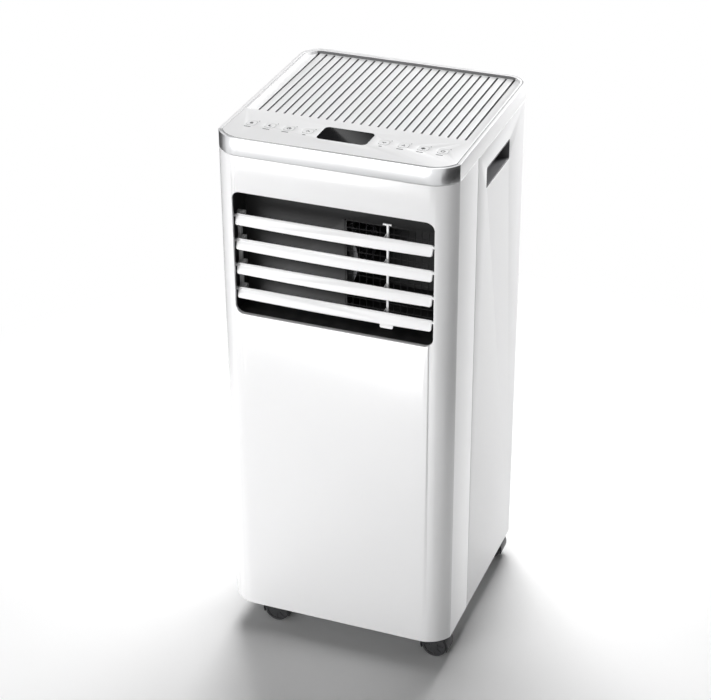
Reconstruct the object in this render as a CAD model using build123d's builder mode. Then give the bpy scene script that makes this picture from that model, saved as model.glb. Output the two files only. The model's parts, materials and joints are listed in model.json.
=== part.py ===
from build123d import *
from math import asin, cos, degrees, radians, sin, sqrt
import os

os.makedirs("parts", exist_ok=True)

# Portable air conditioner: a floor-standing tower on four swivel casters.
# Millimetres, +Z up, the outlet faces -Y, origin on the floor under the middle of the body.

# ---------------------------------------------------------------- body
body_width = 300.0
body_depth = 302.0
body_height = 669.0
ground_clearance = 37.0
corner_run_x = 35.0        # front corner arc, measured along the front
corner_run_y = 22.0        # and along the side, where it ends in a crease
rear_corner_radius = 27.0
wall = 2.5
seam = 0.4                 # open joint between two covers
nest_gap = 0.3             # running gap between a cover and the piece behind it
side_groove_back = 91.0    # from the front face to the joint in each side
side_groove_width = 1.6
side_groove_depth = 1.2
nest_inset = 2 * wall      # inner face of the shell nested behind the front panel
nest_back = 31.0           # how far the nested shell reaches behind the front face
nest_cut_depth = 20.0
bridge_inset = 1.0         # outer face of the bridge between nested shell and side

front_y = -body_depth / 2
rear_y = body_depth / 2
body_bottom = ground_clearance
body_top = ground_clearance + body_height
crease_y = front_y + corner_run_y
nest_rear_y = front_y + nest_back
side_groove_y = front_y + side_groove_back
groove_backing_y = side_groove_y - 10.0
groove_rear_y = side_groove_y + side_groove_width / 4
corner_radius = (corner_run_x**2 + corner_run_y**2) / (2 * corner_run_y)
corner_x = body_width / 2 - corner_run_x
corner_y = front_y + corner_radius

# ---------------------------------------------------------------- top
band_height = 21.5
rim_width = 4.2
cover_thickness = 3.0
recess_margin = 8.0        # from the body's edge to the sunk grille
recess_back = 89.4         # from the front face to the sunk grille
recess_depth = 4.0
recess_wall = 2.0
slat_depth = 6.0
slot_count = 25
slot_side = 19.2           # from the body's side to the middle of the first slot
slot_width = 2.6
slot_end = 1.0             # left whole at each end of a slot
skirt_depth = 14.0
skirt_back = 111.0         # from the front face to the start of the skirt
ledge_width = 1.4

band_bottom = body_top - band_height
shell_top = band_bottom - seam
cover_bottom = body_top - cover_thickness
recess_front_y = front_y + recess_back
skirt_front_y = front_y + skirt_back
slot_pitch = (body_width - 2 * slot_side) / (slot_count - 1)
recess_floor = body_top - recess_depth

# ---------------------------------------------------------------- controls
key_size = 12.4
key_corner = 4.0
key_gap = 0.3
keys_per_side = 4
key_row_back = 50.0        # from the front face to the row of keys
key_first_x = 47.5
key_side = 30.5            # from the body's side to the middle of the last key
key_height = 6.0
key_flange = 2.0
key_flange_overhang = 1.6
key_stem_radius = 2.0
key_stem_length = 3.4
key_edge_round = 0.3
key_travel = 0.5
switch_slack = 0.1         # left under a fully pressed key
switch_size = 6.0
switch_height = 3.5
board_thickness = 1.6
board_width = 34.0
board_post = 6.0
module_width = 24.0        # display module under the window
module_gap = 0.5
window_length = 62.6
window_x = -1.3
window_width = 36.0
window_corner = 6.5
window_thickness = 2.0
window_ledge = 2.0
window_back = 52.5         # from the front face to the middle of the window
window_gap = 0.2

key_row_y = front_y + key_row_back
key_pitch = (body_width / 2 - key_side - key_first_x) / (keys_per_side - 1)
window_y = front_y + window_back
switch_gap = key_travel + switch_slack

# ---------------------------------------------------------------- outlet
opening_side = 23.0        # from the body's side to the opening
opening_height = 163.6
opening_bottom = 474.0
opening_corner = 11.0
lip_depth = 6.0
lip_wall = 2.0
frame_inner_margin = 3.5   # the dark frame is this much larger than the opening, all round
frame_wall = 3.0
frame_front_back = 8.0     # from the front face to the frame's front edge
frame_back_back = 53.0     # and to its back wall
frame_flange = 8.0
frame_flange_thickness = 2.5
duct_side = 28.0           # from the body's side to the duct
duct_bottom = 474.0
duct_top = 599.5
guard_bar = 1.2
guard_border = 2.0
guard_sink = 0.2
guard_columns = 12
guard_rows = 12

opening_width = body_width - 2 * opening_side
frame_front_y = front_y + frame_front_back
frame_back_y = front_y + frame_back_back
duct_right = body_width / 2 - duct_side
opening_mid_z = opening_bottom + opening_height / 2
frame_inner_width = opening_width + 2 * frame_inner_margin
frame_inner_height = opening_height + 2 * frame_inner_margin
frame_outer_width = frame_inner_width + 2 * frame_wall
frame_outer_height = frame_inner_height + 2 * frame_wall

# ---------------------------------------------------------------- louvre
blade_count = 4
blade_pitch = 32.95
blade_tilt = 72.0          # front edge below the pivot, degrees
blade_left_gap = 0.6       # between a blade's left end and the opening's side
blade_right_gap = 4.0
blade_thickness = 3.0
blade_tail = 2.6           # above the pivot
blade_front = 11.2         # below the pivot, at the ends
blade_bow = 1.4            # extra chord at mid length
blade_corner = 3.2
blade_shoulder = 1.0       # bevel on the upper corners, beside the pins
blade_nose_round = 1.0
blade_pivot_depth = 10.5
blade_top_pivot_z = 601.5
pivot_radius = 1.9
pivot_clearance = 0.08
pin_root = 4.0
crank_angle = -2.0         # from level; the crank pins lie a little below their pivots
crank_radius = 11.0
crank_pin_radius = 1.5
crank_arm_width = 4.6
crank_arm_height = 3.4
link_side_gap = 1.9        # between the link and the frame's side wall
link_width = 4.0
link_thickness = 4.4
link_end = 3.3
rod_side = 64.0            # from the opening's side to the tie rod
rod_width = 2.8
rod_pin_radius = 1.2
rod_reach = 16.0           # above the top crank pin
rod_eye_radius = 2.2
rod_hook_offset = 0.8      # the hook at the head is longer to the left
rod_hook_length = 10.4
rod_hook_width = 2.0
rod_hook_height = 2.2
lug_width = 1.2
lug_height = 2.6
side_play = 0.4            # between a rod and the arm beside it
pin_clearance = 0.08
pin_tip = 0.3              # a crank pin stands this much out of its rod
tab_length = 16.4
tab_reach = 16.4           # from the pivot to the tab's lower edge
tab_shift = 4.0            # the tab's middle is this far to the right of the tie rod
tab_thickness = 2.2
tab_root = 2.0
tab_corner = 1.6

pivot_y = front_y + blade_pivot_depth
blade_left_x = blade_left_gap - opening_width / 2
blade_right_x = opening_width / 2 - blade_right_gap
link_left = link_side_gap - frame_inner_width / 2
link_right = link_left + link_thickness
rod_x = opening_width / 2 - rod_side
tab_centre_x = rod_x + tab_shift
tab_height = tab_reach - blade_front + tab_root

# ---------------------------------------------------------------- casters
caster_side = 39.0         # from the body's side to a caster's stem
caster_end = 33.5          # and from its front or back
wheel_radius = 16.5
wheel_width = 8.0
caster_web = 7.0
wheel_gap = 0.5
fender_gap = 0.7
fender_thickness = 1.7
fender_wrap = 22.0         # degrees the fender reaches below the axle
caster_trail = 17.0
axle_radius = 2.5
stem_radius = 4.0
stem_length = 24.0
stem_below_pan = 2.0
stem_clearance = 0.08
axle_clearance = 0.08
thrust_gap = 0.3           # between the swivel boss and the pan
tread_width = 3.5
tread_round = 1.2
hub_cap_radius = 5.0
dish_depth = 1.2
swivel_boss_radius = 9.0
caster_head_gap = 1.2

caster_x = body_width / 2 - caster_side
caster_y = body_depth / 2 - caster_end
caster_width = caster_web + 2 * (wheel_gap + wheel_width)
fender_radius = wheel_radius + fender_gap + fender_thickness
pan_bottom = body_bottom + caster_head_gap
stem_top = pan_bottom + stem_length - stem_below_pan

# ---------------------------------------------------------------- base pan and tray
pan_floor = 3.0
pan_wall = 2.5
pan_height = 36.0
pan_inset = nest_inset + nest_gap
socket_radius = 8.0
tray_top = 456.0
tray_floor = 3.0
tray_rim = 12.0
tray_rim_wall = 2.0
tray_pipe_hole = 6.0
tray_spigot = 27.0
tray_back = 59.0           # from the front face to the tray's front edge

pan_top = pan_bottom + pan_floor
tray_front_y = front_y + tray_back

# ---------------------------------------------------------------- handles
handle_length = 91.5
handle_height = 27.0
handle_mid_y = 19.2
handle_bottom = 631.0
handle_depth = 30.0
handle_wall = 2.0
handle_corner = 3.0
handle_flange = 5.0

# ---------------------------------------------------------------- rear face
door_side = 38.0           # from the body's side to the filter door
door_bottom = 483.0
door_height = 184.0
door_thickness = 2.7
door_gap = 0.5
door_heel_gap = 2.2
door_axis_inset = 3.5
door_axis_rise = 3.0
door_pin_radius = 1.5
door_boss_radius = 3.4
door_boss_length = 5.0
door_slots = 17
door_slot_height = 5.0
door_slot_pitch = 9.6
door_margin = 10.0
door_ear_radius = 2.6
door_ear_length = 4.0
slot_round = 2.4
filter_border = 4.0
filter_depth = 4.0
filter_rib = 2.0
filter_mesh = 0.6
filter_lift = 2.0
filter_side = 7.0          # the air filter is this much narrower than its door, each side
filter_end = 12.0
intake_side = 45.0         # from the body's side to the lower grille
intake_bottom = 86.0
intake_slots = 20
intake_slot_height = 5.0
intake_slot_pitch = 9.6
collar_z = 372.0
collar_bore_radius = 73.0
collar_wall = 3.0
collar_flange = 4.0
collar_depth = 30.0
gland_depth = 12.0
gland_flange = 3.0
plug_length = 9.0
gland_side = 42.0          # from the body's side to the cord gland
gland_z = 300.0
gland_radius = 8.0
gland_bore_radius = 3.6
drain_radius = 6.0
drain_bore_radius = 3.5
drain_low_side = 80.0
drain_low_z = 52.0
drain_high_side = 42.0
drain_high_z = 449.0
screw_head_radius = 3.5
screw_head_height = 1.6
screw_shank_radius = 1.6
screw_length = 9.0
screw_clearance = 0.08
screw_boss_radius = 4.5
screw_boss_length = 9.0
screw_low_side = 60.0
screw_low_z = 60.0
screw_high_side = 55.0
screw_high_z = 676.0

door_width = body_width - 2 * door_side
intake_width = body_width - 2 * intake_side
gland_x = body_width / 2 - gland_side
drain_low_x = drain_low_side - body_width / 2
drain_high_x = drain_high_side - body_width / 2
screw_low = (body_width / 2 - screw_low_side, screw_low_z)
screw_high = (body_width / 2 - screw_high_side, screw_high_z)

# ---------------------------------------------------------------- fans
fan_shaft_radius = 3.0
fan_bore_clearance = 0.06
fan_blades = 30
fan_blade_chord = 11.0
fan_blade_thickness = 1.2
fan_blade_turn = 25.0
fan_disc = 2.0
fan_disc_share = 0.42      # where the middle disc sits along the drum
fan_hub_radius = 8.0
fan_hub_length = 16.0
motor_nose = 3.0
scroll_wall = 2.0
scroll_foot = 10.0
upper_fan_side = 100.0     # from the body's left side to the upper fan's axis
upper_fan_z = 538.0
upper_fan_radius = 60.0
upper_fan_length = 68.0
upper_scroll_radius = 78.0
upper_scroll_depth = 86.0
upper_inlet_radius = 52.0
upper_motor_radius = 30.0
upper_motor_length = 30.0
upper_shaft = 28.0
lower_fan_side = 98.0
lower_fan_z = 188.0
lower_fan_radius = 68.0
lower_fan_length = 62.0
lower_scroll_radius = 88.0
lower_scroll_back = 137.0  # from the rear face to the lower scroll's front
lower_scroll_depth = 76.0
lower_inlet_radius = 60.0
lower_motor_radius = 40.0
lower_motor_gap = 11.0     # between the motor and the accumulator
lower_shaft = 50.0
duct_start = 48.0          # from the upper fan's axis to the duct
duct_foot = 0.5            # the upper scroll's duct is this much taller than the outlet, below
duct_head = 4.0            # and above
riser_side = 10.0
riser_right = -20.0
riser_low_z = 190.0
riser_high_z = 300.0
plenum_mid = (-7.5, 369.0)
plenum_width = 185.0
plenum_height = 158.0
spigot_gap = 0.3           # between the scroll's spigot and the collar
spigot_step = 2.0          # the spigot's bore is smaller, so that the hose stops there

upper_fan_x = upper_fan_side - body_width / 2
lower_fan_x = lower_fan_side - body_width / 2
lower_scroll_front = rear_y - lower_scroll_back
riser_box = (riser_side - body_width / 2, riser_right, riser_low_z, riser_high_z)
duct_left = upper_fan_x + duct_start
spigot_back_y = rear_y - collar_depth - spigot_gap

# ---------------------------------------------------------------- coils, compressor, pipes
coil_tube_radius = 3.5
coil_rows = 8
coil_row_share = 0.3       # each tube row's offset from the coil's mid plane, in coil depths
coil_fins = 24
coil_fin = 0.8
coil_plate = 1.2
evaporator_side = 32.0     # from the body's side to the coil's end
evaporator_depth = 28.0
evaporator_height = 184.0
evaporator_back = 29.0     # from the rear face to the coil's middle
evaporator_bottom = 478.0
condenser_side_gap = 30.0
condenser_depth = 34.0
condenser_height = 196.0
condenser_back = 37.0
condenser_bottom = 86.0
compressor_side = 72.0     # from the body's right side to the compressor's axis
compressor_back = 89.0     # from the front face
compressor_radius = 56.0
compressor_bottom = 62.0
compressor_height = 208.0
compressor_dome = 18.0
plate_thickness = 4.0
stud_spread = 44.0
stud_radius = 3.0
stud_height = 14.0
grommet_radius = 8.0
foot_margin = 2.0
stub_wall = 1.0
stub_height = 4.0
accumulator_reach = 87.0   # from the compressor's axis, leftwards
accumulator_ahead = 13.0   # and forwards
accumulator_radius = 24.0
accumulator_bottom = 100.0
accumulator_height = 130.0
bracket_depth = 10.0
bracket_height = 14.0
pipe_radius = 4.0
pipe_bend = 9.0
pipe_side = 16.0           # from the body's side to the rising pipes
discharge_level = 286.0
discharge_entry_z = 254.0
suction_level = 304.0
suction_entry_z = 520.0
liquid_exit_z = 110.0
drier_radius = 9.0
drier_bottom = 300.0
drier_height = 70.0
capillary_radius = 1.5
capillary_bend = 3.5
capillary_shift_z = 474.0
capillary_entry_z = 500.0

evaporator_size = (body_width - 2 * evaporator_side, evaporator_depth, evaporator_height)
evaporator_y = rear_y - evaporator_back
condenser_size = (body_width - 2 * condenser_side_gap, condenser_depth, condenser_height)
condenser_y = rear_y - condenser_back
compressor_x = body_width / 2 - compressor_side
compressor_y = front_y + compressor_back
accumulator_x = compressor_x - accumulator_reach
accumulator_y = compressor_y - accumulator_ahead
lower_motor_back = accumulator_y + accumulator_radius + lower_motor_gap
discharge_x = body_width / 2 - pipe_side
suction_x = discharge_x
liquid_x = -discharge_x
coil_pipe_y = condenser_y
suction_y = evaporator_y

# ---------------------------------------------------------------- electrics, slinger, float
box_side = 38.0            # from the body's left side to the box
box_width = 118.0
box_bottom = 290.0
box_height = 140.0
box_depth = 46.0
box_wall = 2.0
standoff_length = 5.0
pcb_shift = 44.0           # from the box's left side to the board's middle
pcb_width = 78.0
pcb_height = 124.0
relay_count = 3
relay_pitch = 24.0
relay_width = 16.0
relay_length = 20.0
relay_height = 15.0
capacitor_shift = 100.0    # from the box's left side
capacitor_back = 28.0      # from the front face
capacitor_radius = 15.0
capacitor_height = 68.0
slinger_x = 30.0
slinger_z = 62.0
slinger_radius = 19.0
slinger_width = 10.0
slinger_tooth = 3.0
slinger_teeth = 12
slinger_shaft_radius = 2.0
slinger_motor_radius = 17.0
slinger_motor_length = 20.0
float_side = 64.0          # from the body's left side
float_radius = 10.0
float_height = 14.0
float_stem_radius = 3.0
float_stem_height = 38.0

box_left = box_side - body_width / 2
pcb_mid_x = box_left + pcb_shift
capacitor_x = box_left + capacitor_shift
capacitor_y = front_y + capacitor_back
float_x = float_side - body_width / 2


def corner_angle(inset):
    """Sweep of the front corner arc at a given inset from the outer face."""
    return degrees(asin((corner_run_x - inset) / (corner_radius - inset)))


def outline(inset):
    """Plan outline of the body, set in by a given distance."""
    half = body_width / 2 - inset
    radius = corner_radius - inset
    sweep = corner_angle(inset)
    rear_radius = rear_corner_radius - inset
    rear_x = half - rear_radius
    rear_side_y = rear_y - rear_corner_radius
    with BuildSketch() as sketch:
        with BuildLine():
            Line((-corner_x, front_y + inset), (corner_x, front_y + inset))
            right_front = CenterArc((corner_x, corner_y), radius, -90, sweep)
            Line(right_front @ 1, (half, rear_side_y))
            right_rear = CenterArc((rear_x, rear_side_y), rear_radius, 0, 90)
            back = Line(right_rear @ 1, (-rear_x, rear_y - inset))
            left_rear = CenterArc((-rear_x, rear_side_y), rear_radius, 90, 90)
            left_front = CenterArc((-corner_x, corner_y), radius, -90, -sweep)
            Line(left_rear @ 1, left_front @ 1)
        make_face()
    return sketch.sketch


def ring(outer_inset, inner_inset, low_y, high_y):
    """Plan section of a body-shaped ring, kept between two depths."""
    depth = high_y - low_y
    with BuildSketch() as sketch:
        add(outline(outer_inset))
        add(outline(inner_inset), mode=Mode.SUBTRACT)
        with Locations((0, low_y + depth / 2)):
            Rectangle(2 * body_width, depth, mode=Mode.INTERSECT)
    return sketch.sketch


def wrap(inset, thickness):
    """Plan section of a cover that wraps the front and ends at both creases."""
    return ring(inset, inset + thickness, front_y, crease_y)


def prism(section, low, high):
    """A plan section stood between two heights."""
    with BuildPart() as solid:
        with BuildSketch(Plane.XY.offset(low)):
            add(section)
        extrude(amount=high - low)
    return solid.part


def front_plane(y):
    """Sketch plane facing -Y: its x runs along +X and its y along +Z."""
    return Plane(origin=(0, y, 0), x_dir=(1, 0, 0), z_dir=(0, -1, 0))


def save(piece, label):
    """Label a finished piece and write it."""
    piece.label = label
    export_step(piece, f"parts/{label}.step")


# ================================================================ covers

with BuildSketch(front_plane(front_y)) as lip_section:
    with Locations((0, opening_mid_z)):
        RectangleRounded(
            opening_width + 2 * lip_wall,
            opening_height + 2 * lip_wall,
            opening_corner + lip_wall,
        )
        RectangleRounded(opening_width, opening_height, opening_corner, mode=Mode.SUBTRACT)
opening_lip = extrude(lip_section.sketch, amount=-lip_depth) & prism(outline(0), body_bottom, shell_top)

with BuildPart() as front_panel:
    add(prism(wrap(0, wall), body_bottom, shell_top))
    with BuildSketch(front_plane(front_y - wall)):
        with Locations((0, opening_mid_z)):
            RectangleRounded(opening_width, opening_height, opening_corner)
    extrude(amount=-4 * wall, mode=Mode.SUBTRACT)
    add(opening_lip)
save(front_panel.part, "front_panel")

with BuildPart() as front_frame:
    add(prism(ring(wall + nest_gap, nest_inset, front_y, nest_rear_y), pan_bottom, shell_top))
    add(prism(ring(bridge_inset, nest_inset, crease_y + seam, nest_rear_y), body_bottom, shell_top))
    strip_rear_y = side_groove_y - side_groove_width / 2
    add(prism(ring(0, wall, crease_y + seam, strip_rear_y), body_bottom, shell_top))
    add(prism(ring(side_groove_depth, wall, groove_backing_y, groove_rear_y), body_bottom, shell_top))
    with BuildSketch(front_plane(front_y - wall)):
        with Locations((0, opening_mid_z)):
            Rectangle(frame_outer_width + 2 * seam, frame_outer_height + 2 * seam)
    extrude(amount=-nest_cut_depth, mode=Mode.SUBTRACT)
save(front_frame.part, "front_frame")

with BuildPart() as trim_band:
    add(prism(wrap(0, wall), band_bottom, body_top))
    add(prism(wrap(0, rim_width), body_top - wall, body_top))
save(trim_band.part, "trim_band")

# The collar carries the sides and back of the rim, an inner ring behind the trim band
# that doubles as a ledge under the top cover, and a skirt inside the rear housing.
ledge_inset = rim_width + ledge_width
ledge_top = cover_bottom - nest_gap
skirt_bottom = shell_top - skirt_depth
screw_hole_radius = screw_shank_radius + screw_clearance
with BuildPart() as top_frame:
    add(prism(ring(0, rim_width, crease_y + seam, rear_y), band_bottom, body_top))
    add(prism(ring(wall + nest_gap, ledge_inset, front_y, rear_y), band_bottom, ledge_top))
    add(prism(ring(wall + nest_gap, nest_inset, skirt_front_y, rear_y), skirt_bottom, band_bottom))
    with BuildSketch(front_plane(rear_y)):
        with Locations((-screw_high[0], screw_high[1]), screw_high):
            Circle(screw_hole_radius)
    extrude(amount=screw_length + wall, mode=Mode.SUBTRACT)
save(top_frame.part, "top_frame")

recess_length = rear_y - recess_margin - recess_front_y
slot_length = recess_length - 2 * slot_end
recess_mid_y = recess_front_y + recess_length / 2

with BuildSketch() as recess_section:
    add(outline(recess_margin))
    with Locations((0, recess_mid_y)):
        Rectangle(2 * body_width, recess_length, mode=Mode.INTERSECT)
with BuildSketch() as recess_block_section:
    add(outline(recess_margin - recess_wall))
    with Locations((0, recess_mid_y)):
        Rectangle(2 * body_width, recess_length + 2 * recess_wall, mode=Mode.INTERSECT)

key_xs = [side * (key_first_x + key_pitch * i) for side in (-1, 1) for i in range(keys_per_side)]
key_names = ["temp_up", "timer", "sleep", "lock", "temp_down", "fan_speed", "mode", "power"]

with BuildPart() as top_cover:
    add(prism(outline(rim_width + seam), cover_bottom, body_top))
    add(prism(recess_block_section.sketch, recess_floor - slat_depth, body_top))
    add(prism(recess_section.sketch, recess_floor, body_top), mode=Mode.SUBTRACT)
    with BuildSketch(Plane.XY.offset(recess_floor - slat_depth)):
        with Locations((0, recess_mid_y)):
            with GridLocations(slot_pitch, 0, slot_count, 1):
                Rectangle(slot_width, slot_length)
    extrude(amount=slat_depth, mode=Mode.SUBTRACT)
    with BuildSketch(Plane.XY.offset(cover_bottom)):
        with Locations((window_x, window_y)):
            RectangleRounded(
                window_length - 2 * window_ledge,
                window_width - 2 * window_ledge,
                window_corner / 2,
            )
        with Locations([(x, key_row_y) for x in key_xs]):
            RectangleRounded(key_size + 2 * key_gap, key_size + 2 * key_gap, key_corner + key_gap)
    extrude(amount=cover_thickness, mode=Mode.SUBTRACT)
    with BuildSketch(Plane.XY.offset(body_top)):
        with Locations((window_x, window_y)):
            RectangleRounded(
                window_length + 2 * window_gap,
                window_width + 2 * window_gap,
                window_corner,
            )
    extrude(amount=-window_thickness, mode=Mode.SUBTRACT)
save(top_cover.part, "top_cover")

with BuildPart() as display_window:
    with BuildSketch(Plane.XY.offset(body_top - window_thickness)):
        with Locations((window_x, window_y)):
            RectangleRounded(window_length, window_width, window_corner)
    extrude(amount=window_thickness)
save(display_window.part, "display_window")

# ================================================================ keys and their board

key_bottom = body_top - key_height
flange_top = cover_bottom - key_gap
stem_bottom = key_bottom - key_stem_length
board_top = stem_bottom - switch_gap - switch_height
board_length = body_width - 2 * key_side + board_width
post_spread_x = board_length - 2 * board_post
post_spread_y = board_width - board_post

for name, x in zip(key_names, key_xs):
    flange = key_size + 2 * key_flange_overhang
    with BuildPart() as key:
        with BuildSketch(Plane.XY.offset(key_bottom)):
            with Locations((x, key_row_y)):
                RectangleRounded(key_size, key_size, key_corner)
        extrude(amount=key_height)
        fillet(key.faces().sort_by(Axis.Z)[-1].edges(), key_edge_round)
        with BuildSketch(Plane.XY.offset(flange_top - key_flange)):
            with Locations((x, key_row_y)):
                RectangleRounded(flange, flange, key_corner)
        extrude(amount=key_flange)
        with BuildSketch(Plane.XY.offset(stem_bottom)):
            with Locations((x, key_row_y)):
                Circle(key_stem_radius)
        extrude(amount=key_height)
    save(key.part, f"key_{name}")

with BuildPart() as control_board:
    with BuildSketch(Plane.XY.offset(board_top - board_thickness)):
        with Locations((0, key_row_y)):
            Rectangle(board_length, board_width)
    extrude(amount=board_thickness)
    with BuildSketch(Plane.XY.offset(board_top)):
        with Locations([(x, key_row_y) for x in key_xs]):
            Rectangle(switch_size, switch_size)
    extrude(amount=switch_height)
    with BuildSketch(Plane.XY.offset(board_top)):
        with Locations((window_x, window_y)):
            Rectangle(window_length - 3 * window_ledge, module_width)
    extrude(amount=cover_bottom - module_gap - board_top)
    with BuildSketch(Plane.XY.offset(board_top)):
        with Locations((0, key_row_y)):
            with GridLocations(post_spread_x, post_spread_y, 2, 2):
                Rectangle(board_post, board_post)
    extrude(amount=cover_bottom - board_top)
save(control_board.part, "control_board")

# ================================================================ outlet

duct_width = duct_right - duct_left
duct_height = duct_top - duct_bottom
duct_mid = ((duct_left + duct_right) / 2, (duct_bottom + duct_top) / 2)
flange_width = 2 * corner_x - frame_flange
pivot_zs = [blade_top_pivot_z - blade_pitch * i for i in range(blade_count)]

with BuildPart() as outlet_frame:
    with BuildSketch(front_plane(frame_front_y)):
        with Locations((0, opening_mid_z)):
            Rectangle(frame_outer_width, frame_outer_height)
    extrude(amount=frame_front_y - frame_back_y)
    with BuildSketch(front_plane(frame_front_y)):
        with Locations((0, opening_mid_z)):
            Rectangle(frame_inner_width, frame_inner_height)
    extrude(amount=frame_front_y - frame_back_y + frame_wall, mode=Mode.SUBTRACT)
    with BuildSketch(front_plane(front_y + nest_inset)):
        with Locations((0, opening_mid_z)):
            Rectangle(flange_width, frame_outer_height + 2 * frame_flange)
            Rectangle(flange_width, frame_inner_height, mode=Mode.SUBTRACT)
    extrude(amount=-frame_flange_thickness)
    with BuildSketch(front_plane(front_y + nest_inset)):
        with Locations((0, opening_mid_z)):
            Rectangle(flange_width, frame_outer_height)
            Rectangle(flange_width, frame_inner_height, mode=Mode.SUBTRACT)
    extrude(amount=front_y + nest_inset - frame_front_y)
    with BuildSketch(front_plane(frame_back_y)):
        with Locations(duct_mid):
            Rectangle(duct_width, duct_height)
    extrude(amount=2 * frame_wall, both=True, mode=Mode.SUBTRACT)
    for z in pivot_zs:
        with Locations(Plane(origin=(0, pivot_y, z), z_dir=(1, 0, 0))):
            Cylinder(pivot_radius + pivot_clearance, frame_outer_width + 2.0, mode=Mode.SUBTRACT)
save(outlet_frame.part, "outlet_frame")

guard_width = duct_width - seam
guard_height = duct_height - seam
guard_column_pitch = (guard_width - guard_border) / (guard_columns + 1)
guard_row_pitch = (guard_height - guard_border) / (guard_rows + 1)
with BuildPart() as outlet_guard:
    with BuildSketch(front_plane(frame_back_y - frame_wall + guard_sink)):
        with Locations(duct_mid):
            Rectangle(guard_width, guard_height)
            Rectangle(
                guard_width - 2 * guard_border,
                guard_height - 2 * guard_border,
                mode=Mode.SUBTRACT,
            )
            with GridLocations(guard_column_pitch, 0, guard_columns, 1):
                Rectangle(guard_bar, guard_height - guard_border)
            with GridLocations(0, guard_row_pitch, 1, guard_rows):
                Rectangle(guard_width - guard_border, guard_bar)
    extrude(amount=-guard_bar)
save(outlet_guard.part, "outlet_guard")


def pivot_plane(z, angle):
    """Plane through a blade's pivot: x along the blade, y rearward and turned up by an angle."""
    turn = radians(angle)
    return Plane(origin=(0, pivot_y, z), x_dir=(1, 0, 0), z_dir=(0, -sin(turn), cos(turn)))


stand = (Align.CENTER, Align.CENTER, Align.MIN)


def along_x(plane, x, y):
    """A plane square to X at a point given in a plane through the pivot."""
    centre = plane.from_local_coords(Vector(x, y, 0))
    return Plane(origin=centre, z_dir=(1, 0, 0))


def corner_edges(part):
    """The short edges across a blade's corners, front corners first."""
    return part.edges().filter_by(lambda e: abs(e.length - blade_thickness) < 0.01).sort_by(Axis.Y)


def make_blade(index, z):
    """One louvre blade with its pivot pins, crank arm, tie rod lug and, on the last, the lever tab."""
    chord = pivot_plane(z, blade_tilt)
    crank = pivot_plane(z, crank_angle)
    arm_x = link_right + side_play
    lug_x = rod_x - rod_width / 2 - side_play - lug_width
    pin_left = link_left - pin_tip
    pivot_end = frame_outer_width / 2 - nest_gap
    nose_middle = ((blade_left_x + blade_right_x) / 2, -blade_front - blade_bow)
    with BuildPart() as blade:
        with BuildSketch(chord.offset(-blade_thickness / 2)):
            with BuildLine():
                tail = Line((blade_right_x, blade_tail), (blade_left_x, blade_tail))
                left = Line(tail @ 1, (blade_left_x, -blade_front))
                nose = ThreePointArc(left @ 1, nose_middle, (blade_right_x, -blade_front))
                Line(nose @ 1, tail @ 0)
            make_face()
        extrude(amount=blade_thickness)
        chamfer(corner_edges(blade)[2:4], blade_shoulder)
        fillet(corner_edges(blade)[0:2], blade_corner)
        long_edges = blade.edges().filter_by(lambda e: e.length > blade_right_x)
        fillet(long_edges.sort_by(Axis.Y)[0:2], blade_nose_round)
        with Locations(crank):
            with Locations((arm_x + crank_arm_width / 2, crank_radius / 2, 0)):
                Box(crank_arm_width, crank_radius, crank_arm_height)
            with Locations((lug_x + lug_width / 2, crank_radius / 2, 0)):
                Box(lug_width, crank_radius, lug_height)
        with Locations(along_x(crank, arm_x, crank_radius)):
            Cylinder(link_end, crank_arm_width, align=stand)
        with Locations(along_x(crank, lug_x, crank_radius)):
            Cylinder(rod_eye_radius, lug_width, align=stand)
        with Locations(along_x(crank, pin_left, crank_radius)):
            Cylinder(crank_pin_radius, arm_x + side_play - pin_left, align=stand)
        with Locations(along_x(crank, lug_x + lug_width / 2, crank_radius)):
            Cylinder(rod_pin_radius, lug_width / 2 + side_play + rod_width + pin_tip, align=stand)
        with Locations(along_x(chord, -pivot_end, 0)):
            Cylinder(pivot_radius, pivot_end + blade_left_x + pin_root, align=stand)
        with Locations(along_x(chord, blade_right_x - pin_root, 0)):
            Cylinder(pivot_radius, pivot_end - blade_right_x + pin_root, align=stand)
        if index == blade_count:
            with BuildSketch(chord.offset(-tab_thickness / 2)):
                with Locations((tab_centre_x, tab_height / 2 - tab_reach)):
                    RectangleRounded(tab_length, tab_height, tab_corner)
            extrude(amount=tab_thickness)
    return blade.part


for index, z in enumerate(pivot_zs, start=1):
    save(make_blade(index, z), f"blade_{index}")

crank_dy = crank_radius * cos(radians(crank_angle))
crank_dz = crank_radius * sin(radians(crank_angle))
link_span = blade_pitch * (blade_count - 1)
crank_y = pivot_y + crank_dy
crank_top_z = blade_top_pivot_z + crank_dz
crank_mid_z = crank_top_z - link_span / 2

with BuildPart() as link_bar:
    with BuildSketch(Plane(origin=(link_left, crank_y, crank_mid_z), x_dir=(0, 1, 0), z_dir=(1, 0, 0))):
        SlotCenterToCenter(link_span + 2 * link_end - link_width, link_width, rotation=90)
        with GridLocations(0, blade_pitch, 1, blade_count):
            Circle(link_end)
            Circle(crank_pin_radius + pin_clearance, mode=Mode.SUBTRACT)
    extrude(amount=link_thickness)
save(link_bar.part, "link_bar")

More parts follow.
